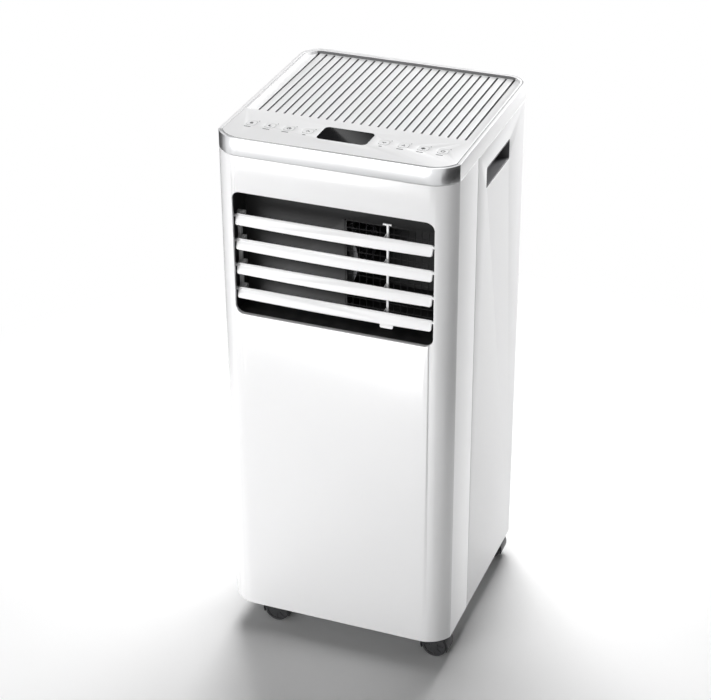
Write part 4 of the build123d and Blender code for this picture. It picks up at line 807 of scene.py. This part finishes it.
class AIRCON_OT_stage(bpy.types.Operator):
    """Floor, lamps and camera"""
    bl_idname = "aircon.stage"
    bl_label = "Set the stage"

    def execute(self, context):
        scene = context.scene
        settings = scene.aircon_stage
        scene.view_settings.view_transform = "Standard"
        make_world(scene)
        make_floor(settings)
        make_lamps()
        make_flags()
        make_camera(scene, settings)
        return {"FINISHED"}


def bright_rays(tree):
    """1 for rays that look straight, in gloss or through glass, else 0."""
    rays = shader(tree, "LightPath")
    either = maths(tree, "MAXIMUM", rays["Is Camera Ray"], rays["Is Glossy Ray"])
    return maths(tree, "MAXIMUM", either, rays["Is Transmission Ray"])


def make_world(scene):
    world = bpy.data.worlds.new("Studio")
    scene.world = world
    world.use_nodes = True
    tree = world.node_tree
    background = tree.nodes["Background"]
    background.inputs["Color"].default_value = (1.0, 1.0, 1.0, 1.0)
    tree.links.new(spread(tree, bright_rays(tree), ROOM_LIGHT, 1.0), background.inputs["Strength"])


def glow(tree, strength):
    """The output of a plain white emission."""
    return shader(tree, "Emission", {"Color": (1.0, 1.0, 1.0, 1.0), "Strength": strength})[0]


def show(tree, source):
    """Makes a shader the surface of its material."""
    tree.links.new(source, tree.nodes["Material Output"].inputs["Surface"])


def make_floor(settings):
    """A wide pale floor that turns plain white away from the unit."""
    form = bmesh.new()
    bmesh.ops.create_grid(form, x_segments=8, y_segments=8, size=12.0)
    floor = link_mesh("floor", settled_mesh("floor", form))
    floor.data.transform(Matrix.Translation((0.0, 0.0, -0.0002)))
    finish, tree, surface = begin_finish("floor_paper")
    paper = {"Base_Color": (*settings.floor_grey, 1.0), "Roughness": 0.9, "Specular_IOR_Level": 0.1}
    set_surface(tree, surface, **paper)
    away = shader(tree, "VectorMath", {0: own_place(tree)}, operation="LENGTH")["Value"]
    fade = ramp(tree, away, *FLOOR_FADE, interpolation_type="SMOOTHSTEP")
    amount = maths(tree, "MULTIPLY", fade, bright_rays(tree))
    show(tree, shader(tree, "MixShader", {0: amount, 1: surface.outputs[0], 2: glow(tree, 1.0)})[0])
    floor.data.materials.append(finish)


def make_lamp(name, azimuth, elevation, distance, width, height, watts, aim):
    """A soft rectangular lamp that looks at a height on the unit's middle."""
    lamp = bpy.data.lights.new(name, "AREA")
    lamp.shape = "RECTANGLE"
    lamp.size, lamp.size_y = width, height
    lamp.energy = watts
    holder = bpy.data.objects.new(name, lamp)
    bpy.context.scene.collection.objects.link(holder)
    a, e = radians(azimuth), radians(elevation)
    away = Vector((sin(a) * cos(e), -cos(a) * cos(e), sin(e)))
    holder.location = Vector((0.0, 0.0, aim)) + away * distance
    holder.rotation_euler = away.to_track_quat("Z", "Y").to_euler()
    holder.visible_camera = False
    return holder


def link_floor(lamp, link):
    """Keeps a lamp off the floor, or gives it to the floor alone, so that one soft shadow lies there."""
    lit = bpy.data.collections.new("lit by " + lamp.name)
    lit.objects.link(bpy.data.objects["floor"])
    lamp.light_linking.receiver_collection = lit
    lit.collection_objects[0].light_linking.link_state = link


def make_flag(name, corners, fade=None):
    """A black card seen only in reflections; fade is (start, run), where it turns from pale to black."""
    form = bmesh.new()
    form.faces.new([form.verts.new(c) for c in corners])
    card = link_mesh(name, settled_mesh(name, form))
    finish, tree, _ = begin_finish(name)
    strength = CARD_DARK
    if fade:
        start, run = fade
        away = shader(tree, "VectorMath", {0: own_place(tree), 1: start}, operation="SUBTRACT")[0]
        slope = {0: away, 1: run / run.length_squared}
        along = shader(tree, "VectorMath", slope, operation="DOT_PRODUCT")["Value"]
        strength = spread(tree, along, CARD_PALE, CARD_DARK)
    show(tree, glow(tree, strength))
    card.data.materials.append(finish)
    for ray in ("camera", "diffuse", "shadow", "transmission"):
        setattr(card, "visible_" + ray, False)


# azimuth, elevation, distance, width, height, watts, height of the aim, and its tie to the floor
LAMPS = {
    "key": (-30.0, 38.0, 3.2, 1.8, 1.4, 30.0, 0.4, "EXCLUDE"),
    "fill": (143.0, 25.0, 1.5, 0.7, 0.7, 25.5, 0.6, "EXCLUDE"),
    "low": (-28.0, 3.0, 3.0, 1.6, 0.8, 60.0, 0.15, None),
    "above": (150.0, 80.0, 2.2, 1.2, 1.2, 20.0, 0.7, "EXCLUDE"),
    "back": (-166.0, 52.0, 2.6, 1.7, 1.3, 88.0, 0.1, "INCLUDE"),
}


def make_lamps():
    for name, (*values, link) in LAMPS.items():
        lamp = make_lamp(name, *values)
        if link:
            link_floor(lamp, link)


def make_flags():
    """Dark cards beside the unit, and one that fades like the edge of a window."""
    for name, x, near, far in (("right_flag", 0.75, -0.9, 0.5), ("left_flag", -0.8, -0.15, 1.3)):
        make_flag(name, [(x, near, 0.0), (x, far, 0.0), (x, far, 0.9), (x, near, 0.9)])
    edge = Vector((-0.77, 0.62, -0.13)).normalized()
    middle = Vector((-0.415, 0.928, 1.187))
    side = Vector((-0.34, 0.852, 0.398)).cross(edge).normalized() * 0.3
    high, low = middle + edge * 0.4, middle - edge * 0.4
    make_flag("window_flag", [high, low, low + side, high + side])
    make_flag("window_fade", [high, low, low - side, high - side], (middle, side * -0.14))


def make_camera(scene, settings):
    lens = bpy.data.cameras.new("camera")
    lens.sensor_width = 36.0
    lens.lens = settings.lens
    lens.clip_start = 0.05
    lens.dof.use_dof = False
    a, e, roll = settings.camera_azimuth, settings.camera_elevation, settings.camera_roll
    level = Vector((cos(a), sin(a), 0.0))
    forward = Vector((-sin(a) * cos(e), cos(a) * cos(e), -sin(e)))
    upright = level.cross(forward)
    right = level * cos(roll) + upright * sin(roll)
    up = upright * cos(roll) - level * sin(roll)
    eye = bpy.data.objects.new("camera", lens)
    scene.collection.objects.link(eye)
    turn = Matrix((right, up, -forward)).transposed().to_4x4()
    eye.matrix_world = Matrix.Translation(settings.camera_place) @ turn
    scene.camera = eye


class AIRCON_OT_covers(bpy.types.Operator):
    """Front panel, side and rear covers, trim band and top collar"""
    bl_idname = "aircon.covers"
    bl_label = "Dress the covers"

    def execute(self, context):
        rounding = context.scene.aircon_cover.edge_round
        eased("front_panel", "gloss_white", rounding)
        eased("front_frame", "matte_white", rounding * 0.8)
        eased("rear_housing", "matte_white", rounding * 0.8)
        eased("trim_band", "silver_trim", rounding * 0.8)
        eased("top_frame", "top_white", rounding * 0.8, "matte_white")
        return {"FINISHED"}


class AIRCON_OT_top(bpy.types.Operator):
    """Top cover with its sunk slotted grille and the printed bars"""
    bl_idname = "aircon.top"
    bl_label = "Dress the top cover"

    def execute(self, context):
        control = context.scene.aircon_control
        form = merged("top_cover")
        for corner in form.verts:
            if corner.co.z > TOP - 1e-5:
                corner.co.z = TOP - SURFACE_DROP
        mesh = softened(form, "top_cover", TOP_ROUND, "MITER_SHARP")
        shade_seams(mesh)
        stand_in("top_cover_shell", mesh, "gloss_white", "body", "top_cover")
        dot_x, dot_y, dot_radius = 7.2, 7.4, 0.75
        bar_x, bar_y, bar_height, bar_length, short_bar = -0.9, -11.2, 1.5, 8.6, 4.2
        marks = []
        for name in KEYS:
            (x, y, _), _ = box_of("key_" + name)
            dot = [(dot_x + px, dot_y + py) for px, py in circle(dot_radius, 14)]
            bar = rounded_points(bar_x, bar_y, short_bar if "temp" in name else bar_length, bar_height)
            marks.append((printed([dot, bar], x, y, control.mark_height), "print_grey"))
        stand_in("top_prints", joined("top_prints", marks), "display_black", "body")
        return {"FINISHED"}


def shade_seams(mesh):
    """Two finishes on the top cover: white, and a grey of painted shade in its slots, on its rear step and
    along its outer edge, where a seam's shadow falls.
    """
    mesh.materials.clear()
    mesh.materials.append(finish_of("top_white"))
    mesh.materials.append(finish_of("slot_grey"))
    _, (right, far, _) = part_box("top_cover")
    slot_top, rim, corner, step, round_key = TOP - 0.0043, 0.001, 0.03, 0.006, 0.0095
    holes = [box_of("key_" + name)[0] for name in KEYS]
    for face in mesh.polygons:
        x, y, z = face.center
        slope = abs(face.normal.z)
        in_slot = slope < 0.5 and z < slot_top
        rear_step = face.normal.y < -0.5 and y > far - step
        looks_out = face.normal.x * x + face.normal.y * y > 0.0
        by_key = any(abs(x - hx) < round_key and abs(y - hy) < round_key for hx, hy, _ in holes)
        by_rim = abs(x) > right - rim or abs(y) > far - rim
        by_corner = abs(x) > right - corner and abs(y) > far - corner
        outer_edge = slope < 0.95 and looks_out and (by_rim or by_corner) and not by_key
        # the slot walls, the rear step and the seam bevel get the grey of painted shade
        face.material_index = 1 if in_slot or rear_step or outer_edge else 0


def rounded_points(x, y, width, height):
    """A bar with round ends, in millimetres."""
    r = height / 2
    right = arc_points(x + width / 2 - r, y, r, -90, 90, 8)
    return right + arc_points(x - width / 2 + r, y, r, 90, 270, 8)


def key_form(name, ease):
    """A key: capped stem with a flange, and its top face eased."""
    (x, y, z), (flange, _, tall) = box_of("key_" + name)
    low, top = z - tall / 2, z + tall / 2 - SURFACE_DROP
    foot, seat = top - 0.0053, top - 0.0033
    cap = flange - 0.0032
    levels = [
        (flange, 0.004, foot), (flange, 0.004, seat), (cap, 0.004, seat), (cap, 0.004, top - ease),
        (cap - 0.6 * ease, 0.0039, top - 0.3 * ease), (cap - 2 * ease, 0.0037, top),
    ]
    form = stacked([(rounded_ring(size, size, corner), z) for size, corner, z in levels])
    absorb(form, settled_mesh("stem", pin(0.002, low, foot, 20)))
    return settled_mesh("key_" + name, moved(form, Matrix.Translation((x, y, 0)))), x, y


class AIRCON_OT_keys(bpy.types.Operator):
    """Eight keys with generic printed symbols"""
    bl_idname = "aircon.keys"
    bl_label = "Dress the keys"

    def execute(self, context):
        control = context.scene.aircon_control
        for name in KEYS:
            cap, x, y = key_form(name, control.key_round)
            sign = printed(MARKS[name](control.mark_stroke / MILLIMETRE), x, y, control.mark_height)
            whole = joined("key_" + name + "_form", [(cap, "top_white"), (sign, "print_grey")])
            # The keys' side walls take the grey of painted shade, for the shadow in the gaps round the keys.
            whole.materials.append(finish_of("slot_grey"))
            for face in whole.polygons:
                if face.material_index == 0 and abs(face.normal.z) < 0.9:
                    face.material_index = 2
            shade(whole, 15)
            stand_in("key_" + name + "_cap", whole, "gloss_white", "key_" + name, "key_" + name)
        return {"FINISHED"}


class AIRCON_OT_display(bpy.types.Operator):
    """Display window"""
    bl_idname = "aircon.display"
    bl_label = "Dress the display"

    def execute(self, context):
        (x, y, z), (width, depth, tall) = box_of("display_window")
        corner, top = 0.0065, z + tall / 2
        levels = [(0.0, z - tall / 2), (0.0, top - 0.0004), (0.0001, top - 0.00025), (0.0004, top - 0.00012)]
        outlines = []
        for inset, level in levels:
            ring = rounded_ring(width - 2 * inset, depth - 2 * inset, corner - inset, 8)
            outlines.append((ring, level))
        form = moved(stacked(outlines), Matrix.Translation((x, y, 0)))
        mesh = shade(settled_mesh("display_form", form), 8)
        stand_in("display_glass", mesh, "display_black", "body", "display_window")
        dress("control_board", "board_green")
        return {"FINISHED"}


class AIRCON_OT_outlet(bpy.types.Operator):
    """Dark outlet frame and its wire guard"""
    bl_idname = "aircon.outlet"
    bl_label = "Dress the outlet"

    def execute(self, context):
        eased("outlet_frame", "duct_black", 0.0004)
        radius = context.scene.aircon_louvre.guard_wire
        middle, (width, _, height) = box_of("outlet_guard")
        upright = Matrix.Translation(middle) @ Matrix.Rotation(pi / 2, 4, "X")
        parts = []
        for count, run, other, turn in ((13, height, width, pi / 2), (11, width, height, 0.0)):
            pitch = (other - 2 * radius) / (count + 1)
            wires = repeated(
                thread_tree, "duct_black", Count=count, Length=run - 2 * radius, Pitch=pitch,
                Wave=radius * 0.3, Radius=radius, Bends=2, Phase=0.5,
            )
            parts.append(placed(wires, upright @ Matrix.Rotation(turn, 4, "Z")))
        parts.append(border(width, height, 0.0016, 0.0009, upright))
        mesh = shade(joined("guard_form", [(part, "duct_black") for part in parts]), 60)
        stand_in("outlet_guard_wires", mesh, "duct_black", "body", "outlet_guard")
        return {"FINISHED"}


def border(width, height, band, depth, matrix):
    """A flat picture-frame border with round corners."""
    levels = []
    for inset, z in ((0.0, -depth / 2), (0.0, depth / 2), (band, depth / 2), (band, -depth / 2)):
        corner = max(0.003 - inset, 0.001)
        levels.append((rounded_ring(width - 2 * inset, height - 2 * inset, corner, 4), z))
    return settled_mesh("border", moved(stacked(levels, "joined"), matrix))


class AIRCON_OT_louvre(bpy.types.Operator):
    """Four blades and the two bars that tie them"""
    bl_idname = "aircon.louvre"
    bl_label = "Dress the louvre"

    def execute(self, context):
        rounding = context.scene.aircon_louvre.bar_round
        for number in range(1, 5):
            eased(f"blade_{number}", "louvre_white", 0.0)
        # The bars take a grey raised as painted light, lighter than the blades, against the shade behind the
        # blades.
        eased("link_bar", "link_grey", rounding)
        eased("tie_rod", "link_grey", rounding)
        return {"FINISHED"}


def wheel_form(corner, ribs):
    """Twin caster wheels on one axle, with ribbed dishes."""
    middle, (width, depth, _) = box_of("caster_wheels_" + corner)
    radius, half = width / 2, depth / 2
    side, bore, ease = 0.004, 0.0025, 0.0004
    rim, dish, hub, groove = radius - 0.0035, half - 0.0012, 0.0052, (side + half) / 2
    tyre = turned([
        (bore, side), (radius - 3 * ease, side), (radius - ease, side + ease), (radius, side + 0.0014),
        (radius, groove - ease), (radius - ease, groove), (radius, groove + ease), (radius, half - 0.0014),
        (radius - ease, half - ease), (radius - 3 * ease, half), (rim, half), (rim - ease, dish),
        (hub + ease, dish), (0.005, half - 0.0001), (0.0042, half), (0.0, half), (0.0, side),
    ], 64, "poles")
    end, thick = rim - 0.0002, 0.0006
    rib = slab([(hub, -thick), (end, -thick), (end, thick), (hub, thick)], half - 0.0014, half - 0.0003)
    rib_piece = link_mesh("rib", settled_mesh("rib", rib))
    spokes = repeated(wheel_tree, "wheel_black", Piece=rib_piece, Count=ribs)
    whole = bmesh.new()
    for mesh in (settled_mesh("tyre", tyre), spokes):
        copy = placed(mesh.copy(), Matrix.Scale(-1, 4, (0, 0, 1)))
        copy.flip_normals()
        absorb(whole, mesh)
        absorb(whole, copy)
    absorb(whole, settled_mesh("axle", pin(bore, -side - 0.001, side + 0.001, 32)))
    moved(whole, Matrix.Translation(middle) @ Matrix.Rotation(pi / 2, 4, "X"))
    return shade(settled_mesh("wheels_" + corner, whole), 30)


class AIRCON_OT_casters(bpy.types.Operator):
    """Four twin-wheel casters"""
    bl_idname = "aircon.casters"
    bl_label = "Dress the casters"

    def execute(self, context):
        ribs = context.scene.aircon_caster.ribs
        for corner in CORNERS:
            eased("caster_fork_" + corner, "caster_black", 0.0003)
            wheels = "caster_wheels_" + corner
            mesh = wheel_form(corner, ribs)
            body = body_of_node(wheels)
            stand_in("caster_tyres_" + corner, mesh, "wheel_black", body, wheels)
        return {"FINISHED"}


def screw_form():
    """A pan head with a cross recess, its face at the origin and its shank along -Z."""
    head, sink, arm, reach, steps = 0.0034, 0.0009, 0.00045, 0.0017, 48
    quarter = [(reach, arm), (arm, arm), (arm, reach)]
    cross = []
    for _ in range(4):
        cross += quarter
        quarter = [(-y, x) for x, y in quarter]
    form = bmesh.new()
    levels = [(head, -0.0015), (head, -0.0004), (head - 0.0003, -0.0001), (head - 0.0009, 0.0)]
    rings = [[form.verts.new((x, y, z)) for x, y in circle(r, steps)] for r, z in levels]
    lip = [form.verts.new((x, y, 0.0)) for x, y in cross]
    pit = [form.verts.new((x * 0.8, y * 0.8, -sink)) for x, y in cross]
    bridge(form, rings)
    form.faces.new(rings[0])
    edges = [form.edges.new(pair) for pair in zip(lip, lip[1:] + lip[:1])]
    edges += [form.edges.get(pair) for pair in zip(rings[-1], rings[-1][1:] + rings[-1][:1])]
    bmesh.ops.triangle_fill(form, edges=edges, use_beauty=True)
    bridge(form, [lip, pit])
    form.faces.new(pit)
    shank = [(0.0, -0.009), (0.0012, -0.009), (0.00155, -0.008), (0.00155, -0.0015), (0.0, -0.0015)]
    absorb(outward(form), settled_mesh("shank", turned(shank, 20, "poles")))
    return settled_mesh("screw", form)


class AIRCON_OT_rear(bpy.types.Operator):
    """Filter door, woven filters, exhaust collar, cord gland, plugs and screws"""
    bl_idname = "aircon.rear"
    bl_label = "Dress the rear"

    def execute(self, context):
        inside = context.scene.aircon_inside
        eased("filter_door", "matte_white", 0.0004)
        eased("exhaust_collar", "scroll_white", 0.0006)
        eased("cord_gland", "duct_black", 0.0005)
        eased("drain_plugs", "grommet_rubber", 0.0006)
        # The handle cups, matte white in their slot, take a dark grey: painted shade in the recesses.
        eased("handle_cups", "cup_grey", 0.0006, "matte_white")
        for node, body in (("air_filter", "filter_door"), ("condenser_filter", "body")):
            stand_in(node + "_screen", woven_screen(node, inside), "filter_mesh", body, node)
        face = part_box("case_screws")[1][1] - 0.00005
        screws = bmesh.new()
        head = screw_form()
        for x, z in screw_places():
            turn = Matrix.Translation((x, face, z)) @ Matrix.Rotation(-pi / 2, 4, "X")
            absorb(screws, placed(head.copy(), turn))
        bpy.data.meshes.remove(head)
        mesh = shade(settled_mesh("screws_form", screws), 40)
        stand_in("case_screw_heads", mesh, "screw_steel", "body", "case_screws")
        return {"FINISHED"}


def screw_places():
    """Where the case screws sit: the middles of the groups that their solids' corners fall into."""
    groups = []
    for corner in frame["nodes"]["case_screws"].data.vertices:
        x, z = corner.co.x, corner.co.z
        group = next((g for g in groups if abs(g[0][0] - x) < 0.01 and abs(g[0][1] - z) < 0.01), None)
        if group is None:
            groups.append([(x, z)])
        else:
            group.append((x, z))
    return [[(min(values) + max(values)) / 2 for values in zip(*group)] for group in groups]


def woven_screen(node, inside):
    """A framed filter: a woven mesh stretched across its frame and a cross of bars."""
    finish, edge, bar = "filter_mesh", 0.006, 0.002
    middle, (width, depth, height) = box_of(node)
    upright = Matrix.Translation(middle) @ Matrix.Rotation(pi / 2, 4, "X")
    pitch, radius = inside.thread_pitch, inside.thread_radius
    parts = []
    for run, other, spin, phase in ((width, height, 0.0, 0.5), (height, width, pi / 2, 1.5)):
        bends = int((run - edge) / pitch) + 1
        threads = repeated(
            thread_tree, finish, Count=int((other - edge) / pitch), Length=(bends - 1) * pitch, Pitch=pitch,
            Wave=radius * 0.8, Radius=radius, Bends=bends, Phase=phase,
        )
        parts.append(placed(threads, upright @ Matrix.Rotation(spin, 4, "Z")))
    parts.append(border(width, height, 0.004, depth, upright))
    half = depth / 2 - 0.0001
    for size in ((width - edge, bar), (bar, height - edge)):
        cross = slab(rounded_ring(*size, 0.0008, 3), -half, half)
        parts.append(settled_mesh("bar", moved(cross, upright)))
    return shade(joined(node + "_form", [(part, finish) for part in parts]), 50)


class AIRCON_OT_fans(bpy.types.Operator):
    """Drum fans, their scrolls and motors"""
    bl_idname = "aircon.fans"
    bl_label = "Dress the fans"

    def execute(self, context):
        count = context.scene.aircon_inside.fan_blades
        for name in ("evaporator", "condenser"):
            fan = name + "_impeller"
            stand_in(name + "_fan", drum_fan(fan, count), "fan_grey", body_of_node(fan), fan)
            # The evaporator scroll, white in its slot, takes the black duct finish: painted shade deep inside
            # the outlet.
            finish = "duct_black" if name == "evaporator" else "scroll_white"
            eased(name + "_scroll", finish, 0.0005, "scroll_white")
            dress(name + "_motor", "motor_steel")
        dress("slinger_motor", "motor_steel")
        dress("slinger_wheel", "fan_grey")
        return {"FINISHED"}


def drum_fan(node, count):
    """Forward-curved drum: end rings, curved blades, a dished disc and a bored hub."""
    middle, (width, length_y, _) = box_of(node)
    radius = width / 2
    inner, bore, disc, half, steps = radius - 0.011, 0.00306, 0.002, 0.0005, 6
    web = 0.42 * length_y
    curve = []
    for i in range(steps + 1):
        t = i / steps
        curve.append((inner + 0.0003 + (radius - inner - 0.0006) * t, 0.0032 * sin(pi * t * 0.8)))
    ring = [(x, y + half) for x, y in curve] + [(x, y - half) for x, y in reversed(curve)]
    blade = link_mesh("blade", settled_mesh("blade", slab(ring, half, length_y - half)))
    whole = bmesh.new()
    absorb(whole, repeated(wheel_tree, "fan_grey", Piece=blade, Count=count))
    loops = [[
        (bore, web), (bore, web + 0.016), (0.0074, web + 0.016), (0.008, web + 0.0154), (0.008, web + disc),
        (radius - 0.0055, web + disc), (radius - 0.0055, web),
    ]]
    for z in (0.0, length_y - disc):
        loops.append([(inner, z), (radius, z), (radius, z + disc), (inner, z + disc)])
    for loop in loops:
        absorb(whole, settled_mesh("ring", turned(loop, 72)))
    middle[1] -= length_y / 2
    moved(whole, Matrix.Translation(middle) @ Matrix.Rotation(-pi / 2, 4, "X"))
    return shade(settled_mesh(node + "_form", whole))


class AIRCON_OT_coils(bpy.types.Operator):
    """Finned coils and the refrigerant circuit"""
    bl_idname = "aircon.coils"
    bl_label = "Dress the coils and pipes"

    def execute(self, context):
        count = context.scene.aircon_inside.fin_count
        for name in ("evaporator", "condenser"):
            coil = name + "_coil"
            stand_in(name + "_fins", coil_form(coil, count), "coil_aluminium", "body", coil)
        dress("refrigerant_pipes", "pipe_copper")
        dress("compressor", "compressor_black")
        dress("compressor_grommets", "grommet_rubber")
        return {"FINISHED"}


def tube_along(points, radius, steps=10):
    """A round closed tube along points that lie in a plane of constant y."""
    form = bmesh.new()
    rings = []
    for i, point in enumerate(points):
        ahead = (Vector(points[min(i + 1, len(points) - 1)]) - Vector(points[max(i - 1, 0)])).normalized()
        across = ahead.cross(Vector((0, 1, 0))).normalized()
        other = ahead.cross(across).normalized()
        spots = [Vector(point) + across * x + other * y for x, y in circle(radius, steps)]
        rings.append([form.verts.new(spot) for spot in spots])
    bridge(form, rings)
    form.faces.new(rings[0])
    form.faces.new(rings[-1])
    return settled_mesh("tube", outward(form))


def coil_form(node, count):
    """Thin fins on two rows of bent tubes between end plates."""
    (_, near, low), (_, far, high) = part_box(node)
    (_, y, _), (width, depth, _) = box_of(node)
    rows, tube, gap = 8, 0.0035, 0.0002
    fin_low = high - (0.184 if node == "evaporator_coil" else 0.196)
    pitch = (high - fin_low) / rows
    end = width / 2 - pitch / 2 - tube
    fin = strip(0.0, gap - depth / 2, depth / 2 - gap, 0.00011, fin_low + gap, high - gap)
    step = (2 * end - 0.004) / (count - 1)
    fins = repeated(
        row_tree, "coil_aluminium", Piece=link_mesh("fin", settled_mesh("fin", fin)), Count=count,
        Start=(0.002 - end, y, 0.0), Step=(step, 0.0, 0.0),
    )
    parts = [(fins, "coil_aluminium")]
    for x in (-end, end):
        parts.append((settled_mesh("plate", strip(x, near, far, 0.0006, low, high)), "tin_plate"))
    for line in (y - 0.3 * depth, y + 0.3 * depth):
        for i in range(rows):
            z = fin_low + pitch * (i + 0.5)
            parts.append((tube_along([(-end, line, z), (end, line, z)], tube), "pipe_copper"))
            if i < rows - 1:
                side = 1 if i % 2 else -1
                arc = arc_points(0.0, z + pitch / 2, pitch / 2, -90, 90, 10)
                bend = [(side * (end + px), line, pz) for px, pz in arc]
                parts.append((tube_along(bend, tube), "pipe_copper"))
    return shade(joined(node + "_form", parts))


class AIRCON_OT_inside(bpy.types.Operator):
    """Base pan, tray, electrics and float switch"""
    bl_idname = "aircon.inside"
    bl_label = "Dress the base and electrics"

    def execute(self, context):
        eased("base_pan", "pan_grey", 0.0004)
        eased("divider_tray", "pan_grey", 0.0004)
        for node, finish in (
            ("electrical_box", "box_steel"), ("main_board", "board_green"), ("run_capacitor", "tin_plate"),
            ("float_switch", "float_white"), ("float_ring", "float_white"),
        ):
            dress(node, finish)
        return {"FINISHED"}


class AIRCON_PT_panel(bpy.types.Panel):
    """Lists the steps in order"""
    bl_label = "Air conditioner"
    bl_idname = "AIRCON_PT_panel"
    bl_space_type = "VIEW_3D"
    bl_region_type = "UI"
    bl_category = "Air conditioner"

    def draw(self, context):
        for step in STEPS:
            self.layout.operator(step.bl_idname)
        for group in SETTINGS:
            settings = getattr(context.scene, group)
            column = self.layout.column(heading=group)
            for name in settings.bl_rna.properties.keys():
                if name not in ("rna_type", "name"):
                    column.prop(settings, name)


SETTINGS = {
    "aircon_cover": CoverSettings,
    "aircon_control": ControlSettings,
    "aircon_louvre": LouvreSettings,
    "aircon_caster": CasterSettings,
    "aircon_inside": InsideSettings,
    "aircon_stage": StageSettings,
}
STEPS = (
    AIRCON_OT_stage, AIRCON_OT_covers, AIRCON_OT_top, AIRCON_OT_keys, AIRCON_OT_display, AIRCON_OT_outlet,
    AIRCON_OT_louvre, AIRCON_OT_casters, AIRCON_OT_rear, AIRCON_OT_fans, AIRCON_OT_coils, AIRCON_OT_inside,
)


def register():
    for name, group in SETTINGS.items():
        bpy.utils.register_class(group)
        setattr(bpy.types.Scene, name, bpy.props.PointerProperty(type=group))
    for step in STEPS + (AIRCON_PT_panel,):
        bpy.utils.register_class(step)


def unregister():
    for step in reversed(STEPS + (AIRCON_PT_panel,)):
        bpy.utils.unregister_class(step)
    for name, group in reversed(list(SETTINGS.items())):
        delattr(bpy.types.Scene, name)
        bpy.utils.unregister_class(group)


def main():
    register()
    for step in STEPS:
        family, action = step.bl_idname.split(".")
        getattr(getattr(bpy.ops, family), action)()


if __name__ == "__main__":
    main()
